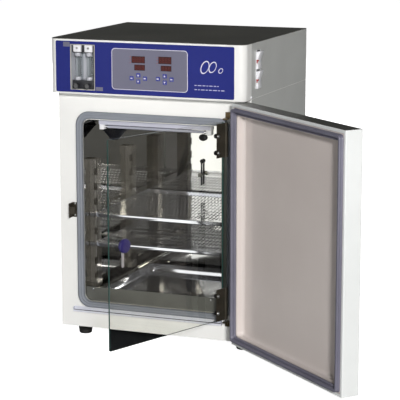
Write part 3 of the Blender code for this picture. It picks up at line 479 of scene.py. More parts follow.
def liner_panels():
    """Flat polished sheets on the five walls of the liner, which leave its rounded corners open."""
    x0, x1, z0, z1 = CHAMBER
    r, deep = CHAMBER_CORNER, SKIN_DEPTH
    front, back = 0.0005, CHAMBER_BACK - 0.0004
    shapes = [plate([rectangle(*inset(CHAMBER, r))], "y", CHAMBER_BACK - deep, CHAMBER_BACK)]
    for x in (x0, x1 - deep):
        shapes.append(plate([rectangle(front, back, z0 + r, z1 - r)], "x", x, x + deep))
    for z, holes in ((z0, []), (z1 - deep, [circle(*FAN, SHAFT_HOLE)])):
        shapes.append(plate([rectangle(x0 + r, x1 - r, front, back)] + holes, "z", z, z + deep))
    piece("liner_panels", shapes, [MIRROR], crease=5)


def chamber_seal():
    """Moulded seal with two ridges round the chamber mouth."""
    inner = (-0.2080, 0.2080, 0.1105, 0.6245, 0.0215)
    outer = (-0.2263, 0.2263, 0.0939, 0.6440, 0.0370)
    section = [(0, -0.0004), (0, -0.0080), (0.06, -0.0104), (0.18, -0.0115), (0.36, -0.0115), (0.42, -0.0105),
               (0.52, -0.0105), (0.58, -0.0115), (0.80, -0.0112), (0.93, -0.0098), (1, -0.0066), (1, -0.0004)]
    piece("chamber_seal_moulded", [frame_sweep(inner, outer, section, 10)], [SILICONE],
          instead_of=("chamber_seal",), crease=50)


SHELF_TOPS = {"shelf_upper": 0.3555, "shelf_lower": 0.2725}
SHELF_FRONT = 0.029
SHELF_BACK = 0.392
SHELF_HALF = 0.1870
SHELF_SHEET = 0.0015
SHELF_BAR_HALF = 0.2045
SHELF_BAR_DEPTH = 0.0055
HEM_RADIUS = 0.0012
SLOT_PITCH = 0.0104
SLOT_WIDTH = 0.0062
SLOT_LENGTH = 0.0345
SLOT_COUNT = 34
SLOT_ROWS = 8
FIRST_ROW = 0.0560
ROW_PITCH = 0.0405
FINGER_SLOTS = 7
FINGER_PITCH = 0.050


def shelf(name, top):
    """A plate of fine slots with a bright folded bar in front, hems at the sides and a rear stop."""
    shoulder = SHELF_FRONT + SHELF_BAR_DEPTH
    half = SLOT_WIDTH / 2
    slots = []
    for row in range(SLOT_ROWS):
        y = FIRST_ROW + row * ROW_PITCH
        shift = 0.25 if row % 2 else -0.25
        for i in range(SLOT_COUNT):
            x = (i - (SLOT_COUNT - 1) / 2 + shift) * SLOT_PITCH
            slots.append(rectangle(x - half, x + half, y, y + SLOT_LENGTH, half * 0.98, 2))
    for i in range(FINGER_SLOTS):
        x = (i - (FINGER_SLOTS - 1) / 2) * FINGER_PITCH
        slots.append(centred(x, 0.045, 0.009, 0.0035, 0.0034, 2))
    edge = [(-SHELF_HALF, shoulder), (SHELF_HALF, shoulder), (SHELF_HALF, SHELF_BACK),
            (-SHELF_HALF, SHELF_BACK)]
    shapes = [plate([edge] + slots, "z", top - SHELF_SHEET, top)]
    shapes.append(block((-SHELF_BAR_HALF, SHELF_FRONT, top - 0.0110), (SHELF_BAR_HALF, shoulder, top),
                        0.0016, 3))
    for x in (HEM_RADIUS - SHELF_HALF, SHELF_HALF - HEM_RADIUS):
        shapes.append(bar([(x, shoulder + 0.001, top + 0.0006), (x, SHELF_BACK, top + 0.0006)], HEM_RADIUS))
    shapes.append(block((-SHELF_HALF, SHELF_BACK - SHELF_SHEET, top - 0.0010),
                        (SHELF_HALF, SHELF_BACK, top + 0.0060), 0.0004, 1))
    piece(f"{name}_slotted", shapes, [SHELF_STEEL], name, (name,))


PAN = (-0.170, 0.170, 0.030, 0.380)


def water_pan():
    """A pressed tray with drafted walls, round corners and a rolled rim."""
    low, high = 0.1125, 0.1390
    sections = [(0.0100, low), (0.0045, low + 0.0016), (0.0030, low + 0.005), (0.0026, high - 0.0036),
                (0.0006, high - 0.0030), (0.0, high - 0.0016), (0.0006, high - 0.0004), (0.0022, high),
                (0.0036, high - 0.0008), (0.0038, low + 0.006), (0.0056, low + 0.0026),
                (0.0105, low + 0.0010)]
    rings = []
    for by, z in sections:
        edge = rectangle(*inset(PAN, by), 0.018 - min(by, 0.006), 5)
        rings.append([(x, y, z) for x, y in edge])
    piece("water_pan_pressed", [skin(rings, cap_start=True, cap_end=True)], [SHELF_STEEL], "water_pan",
          ("water_pan",))


LAMP = (-0.1690, 0.1580, 0.0200, 0.0460)
LAMP_FOLD = 0.6065
TUBE_AXIS = (0.033, 0.5995)


def lamp():
    """A folded channel under the ceiling with a thin tube between two end blocks."""
    x0, x1, y0, y1 = LAMP
    sheet = 0.0012
    channel = [(y0, 0.6216), (y0, LAMP_FOLD), (y0 + sheet, LAMP_FOLD), (y0 + sheet, 0.6204),
               (y1 - sheet, 0.6204), (y1 - sheet, LAMP_FOLD), (y1, LAMP_FOLD), (y1, 0.6216)]
    shapes = [(plate([channel], "x", x0, x1), 0)]
    for x, turn in ((x0, 1), (x1, -1)):
        end = x + turn * 0.014
        low, high = (min(x, end), y0 + 0.002, 0.5920), (max(x, end), y1 - 0.002, 0.6195)
        shapes.append((block(low, high, 0.0018), 1))
        cap = [(x + turn * 0.0142, *TUBE_AXIS), (x + turn * 0.0215, *TUBE_AXIS)]
        shapes.append((bar(cap, 0.0046, 4), 3))
    shapes.append((bar([(x0 + 0.0200, *TUBE_AXIS), (x1 - 0.0200, *TUBE_AXIS)], 0.0040, 4), 2))
    shapes += [(screw((x, TUBE_AXIS[0], 0.6203), "down", 0.0030, 0.0016), 3) for x in (-0.110, 0.100)]
    piece("lamp_strip", shapes, [CHANNEL, PALE, TUBE_WHITE, CHROME],
          instead_of=("lamp_fixture",))


FAN = (-0.155, 0.095)
BLADES = 36


def fan_wheel():
    """Cone of thin curved blades between a hub, a boss and a rim."""
    x, y = FAN
    hub = [(0.0090, 0.5540), (0.0125, 0.5560), (0.0140, 0.5600), (0.0150, 0.5640), (0.0370, 0.5900),
           (0.0385, 0.6030), (0.0385, 0.6135), (0.0400, 0.6140), (0.0400, 0.6150), (0.0040, 0.6150),
           (0.0040, 0.7080)]
    rim = [(0.0385, 0.5900), (0.0424, 0.5896), (0.0426, 0.5925), (0.0385, 0.5930)]
    shapes = [(turned(hub, (x, y, 0), "up", 48), 0), (turned(rim, (x, y, 0), "up", 48), 0)]
    for i in range(BLADES):
        start = 2 * math.pi * i / BLADES
        rings = []
        for step in range(6):
            share = step / 5
            angle = start + 0.35 * share
            across = Vector((-math.sin(angle), math.cos(angle), 0)) * 0.0005
            foot = 0.5580 + 0.0320 * share
            radius = 0.0135 + 0.0270 * share
            inner = 0.0130 + 0.0240 * share
            low = Vector((radius * math.cos(angle), radius * math.sin(angle), foot))
            high = Vector((inner * math.cos(angle), inner * math.sin(angle), 0.6128))
            rings.append([low - across, low + across, high + across, high - across])
        blade = skin(rings, cap_start=True, cap_end=True)
        blade.transform(Matrix.Translation((x, y, 0)))
        shapes.append((blade, 1))
    piece("fan_wheel_bladed", shapes, [BLACK, DARK_BLOCK], "fan_wheel", ("fan_wheel",), 40)


def chamber_fittings():
    """Oval port with its grille, sensor clip and sill screws."""
    x, back, z = -0.009, 0.4038, 0.5230
    outline, mouth, sunk = (circle(x, z, radius, 32, 1.3) for radius in (0.0100, 0.0076, 0.0084))
    ring = plate([outline, mouth], "y", back - 0.0035, back, 0.0008)
    grille = [bar([(x - 0.0098, back - 0.0016, z + step), (x + 0.0098, back - 0.0016, z + step)], 0.0006, 2)
              for step in (-0.0045, -0.0015, 0.0015, 0.0045)]
    dish = plate([sunk], "y", back - 0.0008, back - 0.0002)
    piece("air_port", [ring, dish] + grille, [BLACK])
    clip_x = -0.011
    clip = [block((clip_x - 0.0045, 0.3800, 0.4130), (clip_x + 0.0045, 0.4036, 0.4160), 0.0006),
            block((clip_x - 0.0060, 0.3806, 0.4090), (clip_x + 0.0060, 0.3820, 0.4200), 0.0005),
            screw((clip_x + 0.0130, 0.4030, 0.4145), "front", 0.0032, 0.0020)]
    piece("sensor_clip", clip, [SATIN])
    screws = [screw((x, 0.0060, 0.1430), "front", 0.0030, 0.0014) for x in (-0.185, 0.165)]
    piece("sill_screws", screws, [CHROME])


RACK_FACE = 0.1880


def rack_screws():
    """A dome screw near each end of the four rack uprights."""
    profile = [(0.0042, 0.0), (0.0042, 0.0010), (0.0030, 0.0022), (0.0012, 0.0024), (0.0010, 0.0014)]
    shapes = []
    for side in (-1, 1):
        inward = Matrix.Rotation(-side * math.pi / 2, 4, "Y")
        for y in (0.0545, 0.3030):
            for z in (0.1620, 0.4890):
                shape = turned(profile, (0, 0, 0), "up", 20)
                shape.transform(Matrix.Translation((side * RACK_FACE, y, z)) @ inward)
                shapes.append(shape)
    piece("rack_screws", shapes, [CHROME])


# ---- inner glass door ----

KNOB_AT = (-0.1725, 0.3685)
GLASS_BACK = -0.0120
GLASS_FRONT = -0.0170


def glass_pane():
    """The pane with its knob hole, clear on its two faces and green round its edges."""
    edge = rectangle(-0.2178, 0.2080, 0.1020, 0.6400, 0.003, 3)
    bm = plate([edge, circle(*KNOB_AT, 0.0045, 20)], "y", GLASS_FRONT, GLASS_BACK, 0.0005)
    item = piece("glass_pane_polished", [bm], [GLASS, GLASS_EDGE], "glass_door",
                 ("glass_pane",))
    outward = Matrix.Rotation(GLASS_OPEN, 3, "Z") @ Vector((0, 1, 0))
    for face in item.data.polygons:
        face.material_index = 0 if abs(face.normal.dot(outward)) > 0.9 else 1


def strap_hardware():
    """Dome screws through both straps, each with a black bush on the inner side of the glass."""
    x = GLASS_AXIS.x - 0.0310
    plate_face = GLASS_AXIS.y + 0.0002 - 0.00075
    dome = [(0.0050, 0.0), (0.0050, 0.0006), (0.0046, 0.0018), (0.0034, 0.0030), (0.0018, 0.0036),
            (0.0014, 0.0026)]
    bush = [(0.0035, 0.0), (0.0062, 0.0), (0.0066, 0.0012), (0.0060, 0.0040), (0.0044, 0.0050)]
    tip = [(0.0034, 0.0), (0.0034, 0.0016), (0.0024, 0.0020)]
    for name, levels in (("upper", (0.6030, 0.5580)), ("lower", (0.1700, 0.1230))):
        shapes = []
        for z in levels:
            shapes.append((turned(dome, (x, plate_face, z), "front", 24), 0))
            shapes.append((turned(bush, (x, GLASS_BACK + 0.0002, z), "back", 24), 1))
            shapes.append((turned(tip, (x, GLASS_BACK + 0.0052, z), "back", 16), 0))
        piece(f"strap_screws_{name}", shapes, [ZINC, BLACK], "glass_door")
    x0, x1 = GLASS_AXIS.x - 0.0365, GLASS_AXIS.x - 0.0090
    pads = [block((x0, GLASS_FRONT - 0.0004, low), (x1, GLASS_FRONT, high))
            for low, high in ((0.5465, 0.6345), (0.1030, 0.1875))]
    piece("strap_pads", pads, [BLACK], "glass_door")


def hinge_rod_and_shade_strip():
    """Rod of the glass door, with a flat dark strip in front of it between the straps, which is painted shade
    beside the hinge.
    """
    x, y = GLASS_AXIS.xy
    profile = [(0.0018, 0.0889), (0.0020, 0.0891), (0.0020, 0.6488), (0.0018, 0.6490)]
    rod = turned(profile, (x, y, 0), "up", 20)
    # Painted shade: a dark strip standing in for the shaded seal and liner edge right of the glass
    rail = block((x - 0.0110, y - 0.0046, 0.1890), (x + 0.0040, y - 0.0024, 0.5450), 0.0005, 2)
    piece("hinge_rod_and_shade_strip", [rod, rail], [DARK_ROD_AND_SHADE_STRIP], instead_of=("glass_hinge_rod",))


def latch():
    """Fluted blue knob, its bush through the glass, and the steel tongue that turns with it."""
    x, z = KNOB_AT
    front = GLASS_FRONT - 0.0003
    hub = -front
    body = [(0.0100, hub + 0.0002), (0.0120, hub + 0.0020), (0.0180, hub + 0.0045), (0.0190, hub + 0.0080),
            (0.0186, hub + 0.0108), (0.0170, hub + 0.0130), (0.0120, hub + 0.0147), (0.0060, hub + 0.0150)]
    shapes = [(turned(body, (x, 0, z), "front", 96, 24, 0.0006), 0)]
    shaft = [(0.0038, -GLASS_BACK - 0.0004), (0.0038, hub + 0.001)]
    shapes.append((turned(shaft, (x, 0, z), "front", 20), 1))
    bush = [(0.0038, 0.0), (0.0075, 0.0), (0.0075, 0.0012), (0.0060, 0.0018)]
    shapes.append((turned(bush, (x, GLASS_BACK + 0.0003, z), "back", 24), 2))
    tongue = rectangle(x - 0.0048, x + 0.0048, z - 0.0570, z + 0.0060, 0.0042, 5)
    shapes.append((plate([tongue], "y", front - 0.0016, front - 0.0001, 0.0003), 1))
    piece("latch_knob_turned", shapes, [KNOB, SHELF_STEEL, BLACK], "latch_knob", ("glass_knob",))


def keeper_screws():
    shapes = [screw((-0.2345, -0.0019, z), "front", 0.0030, 0.0018) for z in (0.3525, 0.3845)]
    piece("keeper_screws", shapes, [ZINC])


DRIP_FACE = -0.0114
DRIP_ENDS = (-0.2400, 0.1985)
DRIP_END_WIDTH = 0.0015


def drip_rail_trim():
    """Three screws in the drip rail, a cheek at each end, and a flat dark strip along its face that is
    painted shade for a groove.
    """
    x0, x1 = DRIP_ENDS
    shapes = [screw((x, DRIP_FACE, 0.0815), "front", 0.0020, 0.0010) for x in (-0.215, -0.060, 0.095)]
    shapes += [block((x, DRIP_FACE + 0.0002, 0.0792), (x + DRIP_END_WIDTH, -0.0006, 0.0925), 0.0004)
               for x in DRIP_ENDS]
    # Painted shade: a flat dark strip stands in for the shade inside a groove
    shapes.append((block((x0 + 0.0016, DRIP_FACE, 0.0842), (x1 - 0.0001, -0.0111, 0.0860), 0.0001), 1))
    piece("drip_rail_ends", shapes, [ALUMINIUM, DARK_BLOCK])


# ---- outer door ----


def door_gasket():
    """Bellows gasket with its ribs, run round the lining's edge."""
    inner = (-0.2440, 0.2470, 0.0736, 0.6675, 0.0060)
    outer = (-0.2605, 0.2635, 0.0571, 0.6840, 0.0100)
    section = [(0, -0.0118), (0.02, -0.0090), (0.10, -0.0066), (0.20, -0.0062), (0.26, -0.0086),
               (0.36, -0.0088), (0.44, -0.0050), (0.49, -0.0014), (0.54, -0.0006), (0.84, -0.0006),
               (0.90, -0.0014), (0.92, -0.0048), (0.86, -0.0074), (0.94, -0.0096), (1, -0.0108), (1, -0.0118)]
    piece("door_gasket_bellows", [frame_sweep(inner, outer, section, 6)], [GASKET], "outer_door",
          ("door_gasket",), 50)


LINING_RIM = -0.0122
RECESS = (-0.2438, 0.2468, 0.0738, 0.6673)
RECESS_FLOOR = -0.0360
DOOR_SHEET = (-0.2612, 0.2642, 0.0554, 0.6867)


def door_lining():
    """Formed lining: a rim behind the gasket and a shallow tray with a rounded foot all round."""
    r, wall = 0.0085, 0.0015
    floor = inset(RECESS, r)
    out = 1 + wall / r
    angles = [i * math.pi / 12 for i in range(7)]
    inside = [(math.sin(a), RECESS_FLOOR + r * (1 - math.cos(a))) for a in angles]
    outside = [(out * share, y - wall * math.cos(a)) for a, (share, y) in zip(angles, inside)]
    section = inside + [(1, LINING_RIM), (out, LINING_RIM)] + outside[::-1]
    hole = rectangle(*RECESS, 0.0110, 8)
    shapes = [frame_sweep((*floor, 0.0060), (*RECESS, 0.0110), section, 8),
              plate([rectangle(*floor, 0.0060, 8)], "y", RECESS_FLOOR - wall, RECESS_FLOOR),
              plate([rectangle(*DOOR_SHEET, 0.0010), hole], "y", LINING_RIM - wall, LINING_RIM)]
    piece("door_lining_formed", shapes, [LINING], "outer_door",
          ("door_inner_panel",), 30)


def door_fittings():
    """Roses of the handle and the screws of the lower hinge."""
    rose = [(0.0100, 0.0), (0.0100, 0.0014), (0.0086, 0.0024), (0.0058, 0.0028)]
    shapes = [turned(rose, (-0.1995, -0.0600, z), "front", 32) for z in (0.290, 0.450)]
    piece("handle_roses", shapes, [ALUMINIUM], "outer_door")
    shapes = [screw((x, -0.0028, 0.0410), "front", 0.0030, 0.0016) for x in (0.2585, 0.2720)]
    piece("hinge_screws", shapes, [ZINC])


# ---- control panel ----

BUTTONS = {
    "button_left_west": (-0.0390, 0.7470, "bar"),
    "button_left_north": (-0.0197, 0.7555, "up"),
    "button_left_south": (-0.0197, 0.7388, "down"),
    "button_left_east": (-0.0005, 0.7475, "bar"),
    "button_right_west": (0.0365, 0.7480, "bar"),
    "button_right_north": (0.0560, 0.7560, "up"),
    "button_right_south": (0.0560, 0.7392, "down"),
    "button_right_east": (0.0753, 0.7482, "bar"),
}
DISPLAYS = ((-0.0392, -0.0005, 0.7877, 0.8061), (-0.0313, -0.0006, 0.7683, 0.7838),
            (0.0377, 0.0751, 0.7880, 0.8074), (0.0444, 0.0750, 0.7690, 0.7839))


PRINT_FACE = PANEL_FACE - 0.0004
INK_FACE = PANEL_FACE - 0.00055
MEMBRANE_AREA = (-0.0970, 0.1210, 0.7150, 0.8255)
MEMBRANE_CORNER = 0.0100
MEMBRANE_LINE = 0.0018


def membrane():
    """Grey film with holes for the keys, a pale line round it, key surrounds and small dark lines."""
    holes = [circle(x, z, 0.0050, 20) for x, z, _ in BUTTONS.values()]
    field = rectangle(*inset(MEMBRANE_AREA, 0.001), MEMBRANE_CORNER - 0.001, 6)
    piece("membrane_field", [plate([field] + holes, "y", PRINT_FACE, PANEL_FACE)], [MEMBRANE])
    section = [(share, PANEL_FACE + y) for share, y in ((0, -0.0001), (0.1, -0.0005), (0.9, -0.0005),
                                                        (1, -0.0001))]
    inner = (*inset(MEMBRANE_AREA, MEMBRANE_LINE), MEMBRANE_CORNER - MEMBRANE_LINE)
    shapes = [(frame_sweep(inner, (*MEMBRANE_AREA, MEMBRANE_CORNER), section, 6), 0)]
    for x, z, _ in BUTTONS.values():
        outline = centred(x, z, 0.0058, 0.0056, 0.0012, 3)
        shapes.append((plate([outline, circle(x, z, 0.0049, 24)], "y", PRINT_FACE - 0.0002, PRINT_FACE), 2))
    for x0, x1, z0, z1 in DISPLAYS[::2]:
        lines = [(x0 + 0.006, x1 - 0.012, z1 + 0.0030)]
        lines += [(x0 - 0.0095, x0 - 0.0055, z0 + up) for up in (0.001, 0.0085, 0.016)]
        shapes += [(block((left, INK_FACE, z), (right, PRINT_FACE, z + 0.0008)), 1)
                   for left, right, z in lines]
    piece("membrane_print", shapes, [PRINT, MEMBRANE_DARK, BUTTON])


# Segments of a figure, each from one point to another in shares of its width and height
SEVEN = ((0, 0.5, 1, 0.5), (0, 0, 1, 0), (0, 1, 1, 1), (0, 0, 0, 0.5), (0, 0.5, 0, 1), (1, 0, 1, 0.5),
         (1, 0.5, 1, 1))


def displays():
    """Four red windows, each with a row of seven-segment figures, and the lamps beside the large ones."""
    front = PRINT_FACE - 0.0004
    lit = front - 0.00012
    lamp_dome = [(0.0011, 0.0), (0.0010, 0.0005), (0.0005, 0.0008)]
    shapes = []
    for row, (x0, x1, z0, z1) in enumerate(DISPLAYS):
        shapes.append((block((x0, front, z0), (x1, PRINT_FACE + 0.0003, z1), 0.0003, 1), 0))
        count = 4 if row % 2 == 0 else 3
        pitch = (x1 - x0 - 0.003) / count
        tall, wide = (z1 - z0) * 0.58, pitch * 0.50
        for digit in range(count):
            left, low = x0 + 0.0015 + pitch * (digit + 0.25), (z0 + z1) / 2 - tall / 2
            for u0, v0, u1, v1 in SEVEN:
                a = Vector((left + wide * u0, lit, low + tall * v0))
                b = Vector((left + wide * u1, front, low + tall * v1))
                pad = Vector((-0.0003, 0, 0.0005)) if v0 == v1 else Vector((0.0005, 0, -0.0003))
                shapes.append((block(a - pad, b + pad), 1))
            dot = left + wide + 0.0012
            shapes.append((block((dot - 0.0004, lit, low - 0.0006), (dot + 0.0004, front, low + 0.0004)), 1))
        if row % 2 == 0:
            for up in (0.0014, 0.0089, 0.0164):
                shapes.append((turned(lamp_dome, (x0 - 0.0032, PRINT_FACE, z0 + up), "front", 12), 2))
    piece("display_windows", shapes, [WINDOW, SEGMENT, RED])


def button(name, x, z, mark):
    """A round key with a bar or an arrow on it."""
    back = HEAD_FRONT + 0.0008
    cap = [(0.0045, 0.0), (0.0045, 0.0030), (0.0042, 0.0037), (0.0034, 0.0041), (0.0026, 0.0042)]
    shapes = [(turned(cap, (x, back, z), "front", 28), 0)]
    face = back - 0.0042
    marks = {"bar": [centred(x, z, 0.0030, 0.0016, 0.0004, 1)],
             "up": [[(x - 0.0030, z - 0.0022), (x + 0.0030, z - 0.0022), (x, z + 0.0030)]],
             "down": [[(x - 0.0030, z + 0.0022), (x, z - 0.0030), (x + 0.0030, z + 0.0022)]]}
    shapes.append((plate(marks[mark], "y", face - 0.0002, face + 0.0001), 1))
    piece(f"{name}_cap", shapes, [BUTTON, PRINT], name, (name,))


RINGS = ((0.1690, 0.7840, 0.0175, 0.66, 0.0030), (0.1905, 0.7850, 0.0150, 0.70, 0.0028),
         (0.2130, 0.7765, 0.0070, 0.90, 0.0018))
RING_LEAN = 0.30
DASH_UNIT = 0.00115
DASHES = (((5, 9, 7, 4, 8, 6, 3), 0.7345), ((6, 4, 9, 5, 7, 10, 4, 8), 0.7235))
TAGS = ((-0.2390, -0.2196, 0.8245, 0.8372), (-0.1441, -0.1233, 0.7086, 0.7187))


def panel_prints():
    """Generic marks on the blue film: three linked rings, two rows of dashes and two blank tags."""
    face = PANEL_FACE
    shapes = []
    for x, z, tall, wide, thick in RINGS:
        outline = circle(0, 0, tall, 40, wide)
        hole = circle(0.0004, 0, tall - thick, 40, wide * 0.98)
        leaning = [[(x + u + RING_LEAN * v, z + v) for u, v in ring] for ring in (outline, hole)]
        shapes.append((plate(leaning, "y", face - 0.00015, face), 0))
    for row, z in DASHES:
        x = 0.1400
        for width in row:
            end = x + width * DASH_UNIT
            shapes.append((block((x, face - 0.0001, z), (end, face, z + 0.0021)), 1))
            x = end + 0.0032
    piece("panel_marks", shapes, [PRINT, SOFT_PRINT])
    tags = [block((x0, face - 0.00025, z0), (x1, face, z1), 0.0001, 1) for x0, x1, z0, z1 in TAGS]
    piece("blank_tags", tags, [MEMBRANE])


METER = (-0.2175, -0.1465, 0.7095, 0.8315)
LANES = {"left": -0.1985, "right": -0.1655}
BLOCK_FACE = -0.0440
BLOCK_INSET = 0.0018
TUBE_FRONT = -0.0420
VALVE_HEIGHT = 0.7205
TICKS = 9
TICK_PITCH = 0.0058


def flow_meter():
    """Bezel, white heads, pale fittings, scales and the black foot of the twin flow meter."""
    x0, x1, z0, z1 = METER
    section = [(0, -0.0528), (0.1, -0.0540), (0.9, -0.0540), (1, -0.0522)]
    bezel = frame_sweep((*inset(METER, 0.0013), 0.0010), (*inset(METER, -0.0004), 0.0016), section, 3)
    shapes = [(bezel, 0)]
    left, right = x0 + BLOCK_INSET, x1 - BLOCK_INSET
    for y, low, high in ((-0.0462, z0 + BLOCK_INSET, 0.7350), (-0.0458, 0.8092, z1 - BLOCK_INSET)):
        shapes.append((block((left, y, low), (right, BLOCK_FACE, high), 0.0006), 2))
    for x in LANES.values():
        shapes.append((block((x - 0.0112, -0.0520, 0.8110), (x + 0.0112, -0.0456, 0.8296), 0.0010), 1))
        shapes.append((screw((x, -0.0519, 0.8215), "front", 0.0030, 0.0016), 3))
        for low, high in ((0.7353, 0.7440), (0.8000, 0.8087)):
            collar = [(0.0078, low), (0.0082, low + 0.001), (0.0082, high - 0.001), (0.0078, high)]
            shapes.append((turned(collar, (x, -0.0455, 0), "up", 24), 4))
    piece("flow_meter_trim", shapes, [BEIGE, PALE, DARK_BLOCK, ZINC, METER_GREY])
    ticks = []
    for x in LANES.values():
        for i in range(TICKS):
            left, z = x + 0.0050, 0.7480 + i * TICK_PITCH
            right = left + (0.0050 if i % 4 == 0 else 0.0036)
            ticks.append(block((left, TUBE_FRONT - 0.0003, z), (right, TUBE_FRONT, z + 0.0018)))
    piece("flow_scales", ticks, [BLACK])


def valve_knob(side, x):
    """A fluted black knob on its stem."""
    profile = [(0.0048, 0.0005), (0.0048, 0.0040), (0.0084, 0.0110), (0.0086, 0.0185), (0.0078, 0.0198),
               (0.0060, 0.0200), (0.0054, 0.0192)]
    stem = [(0.0026, -0.0080), (0.0026, 0.0050)]
    shapes = [turned(profile, (x, BLOCK_FACE - 0.0022, VALVE_HEIGHT), "front", 72, 12, 0.0007),
              turned(stem, (x, BLOCK_FACE, VALVE_HEIGHT), "front", 16)]
    piece(f"valve_knob_{side}_fluted", shapes, [KNOB_BLACK], f"valve_knob_{side}",
          (f"valve_knob_{side}",))


ROCKERS = {"rocker_upper": 0.7990, "rocker_lower": 0.7475}
ROCKER_MIDDLE = 0.052
ROCKER_REST = math.radians(7)


def rocker(name, level):
    """Pale rocker with a valley-shaped cap and a red lens at its near end."""
    half_y, half_z = 0.0150, 0.0235
    place = Matrix.Translation((HALF - 0.0030, ROCKER_MIDDLE, level)) @ Matrix.Rotation(ROCKER_REST, 4, "Y")
    body = [(-0.0040, -half_z * 0.6), (0.0045, -half_z + 0.0003), (0.0098, -half_z + 0.0002), (0.0058, 0),
            (0.0098, half_z - 0.0002), (0.0045, half_z - 0.0003), (-0.0040, half_z * 0.6)]
    cap = [(0.0098, -half_z), (0.0110, -half_z), (0.0110, -half_z + 0.003), (0.0070, 0),
           (0.0110, half_z - 0.003), (0.0110, half_z), (0.0098, half_z), (0.0058, 0)]
    lens = [(0.0040, -0.0085), (0.0082, -0.0080), (0.0072, 0.0005), (0.0040, 0.0010)]
    shapes = [(plate([body], "y", -half_y + 0.0004, half_y - 0.0004), 0),
              (plate([cap], "y", -half_y, half_y, 0.0003), 0),
              (plate([lens], "y", -half_y - 0.0002, -half_y + 0.0100), 1)]
    for bm, _ in shapes:
        bm.transform(place)
    piece(f"{name}_cap", shapes, [PALE, RED], name, (name,))


def side_fittings():
    """Frames round the rocker switches, and the nylon pin below the head."""
    frames = []
    for level in ROCKERS.values():
        outlines = [centred(ROCKER_MIDDLE, level, *sizes, 3) for sizes in
                    ((0.0182, 0.0255, 0.0015), (0.0158, 0.0243, 0.0008))]
        frames.append(plate(outlines, "x", HALF, HALF + 0.0014, 0.0004))
    piece("switch_frames", frames, [PALE])
    pin = [(0.0034, 0.0), (0.0036, 0.0010), (0.0030, 0.0022), (0.0014, 0.0026)]
    piece("nylon_pin", [turned(pin, (HALF, -0.0020, 0.7040), "right", 20)], [PALE])


def rear_fittings():
    """Screws and louvres of the rear sheet, the mains socket and the two gas inlets."""
    rear = BODY_DEPTH
    shapes = [screw((x, rear, z), "back") for x in (-0.262, 0.0, 0.262) for z in (0.050, 0.360, 0.680)]
    shapes += [screw((x, rear, z), "back") for x in (-0.262, 0.262) for z in (0.716, 0.832)]
    shapes += [screw((x, rear + 0.0021, z), "back", 0.0030, 0.0018)
               for x in (0.066, 0.234) for z in (0.721, 0.779)]
    piece("rear_screws", shapes, [ZINC])
    hoods = []
    angles = [i * math.pi / 10 for i in range(6)]
    for x in (-0.200, 0.140):
        for z in (0.0790, 0.0940, 0.1090):
            outer = [(rear + 0.0052 * math.sin(a), z + 0.0048 * math.cos(a)) for a in angles]
            inner = [(rear + 0.0042 * math.sin(a), z + 0.0038 * math.cos(a)) for a in reversed(angles)]
            hoods.append(plate([outer + inner], "x", x - 0.002, x + 0.062))
    piece("rear_louvres", hoods, [COAT])
    inlet = [(block((0.0795, rear + 0.0070, 0.7395), (0.1005, rear + 0.0080, 0.7555), 0.0004, 1), 0)]
    for x, z in ((0.0835, 0.7460), (0.0900, 0.7500), (0.0965, 0.7460)):
        low, high = (x - 0.0009, rear + 0.0078, z - 0.0028), (x + 0.0009, rear + 0.0130, z + 0.0028)
        inlet.append((block(low, high, 0.0003, 1), 1))
    ring = [(0.0040, 0.0), (0.0046, 0.0004), (0.0036, 0.0030)]
    for x in (0.160, 0.205):
        for step in range(4):
            inlet.append((turned(ring, (x, rear + 0.0110 + step * 0.0034, 0.750), "back", 24), 1))
    piece("rear_connectors", inlet, [BLACK, BRASS])


FOOT_X = 0.237
FOOT_Y = 0.063


def rubber_feet():
    profile = [(0.0060, 0.0030), (0.0075, 0.0002), (0.0160, 0.0), (0.0178, 0.0016), (0.0186, 0.0080),
               (0.0181, 0.0090), (0.0181, 0.0104), (0.0190, 0.0114), (0.0219, 0.0300), (0.0220, 0.0345),
               (0.0120, 0.0347)]
    stud = [(0.0050, 0.0032), (0.0052, 0.0046), (0.0030, 0.0052), (0.0010, 0.0040)]
    shapes = []
    for x in (-FOOT_X, FOOT_X):
        for y in (FOOT_Y, BODY_DEPTH - FOOT_Y):
            shapes.append((turned(profile, (x, y, 0), "up", 40), 0))
            shapes.append((turned(stud, (x, y, 0), "up", 16), 1))
    piece("rubber_feet", shapes, [RUBBER, ZINC], instead_of=(
        "foot_front_left", "foot_front_right", "foot_rear_left", "foot_rear_right"))


# ---- studio ----


FLOOR_HALF = 40.0
FLOOR_GLOW = 0.92
ROOM_BRIGHT_SIDE = (-0.6, -0.78, 0.1)
ROOM_DARK = (0.05, 0.05, 0.05, 1)
ROOM_LIGHT = (0.14, 0.14, 0.14, 1)
WHITE = (1, 1, 1, 1)

# Painted shadow: the patch of floor that looks dark through glass, standing in for the shade under the
# cabinet
PAINTED_SHADOW_AT = (-0.31, 0.0, 0.0)
PAINTED_SHADOW_REACH = 0.2


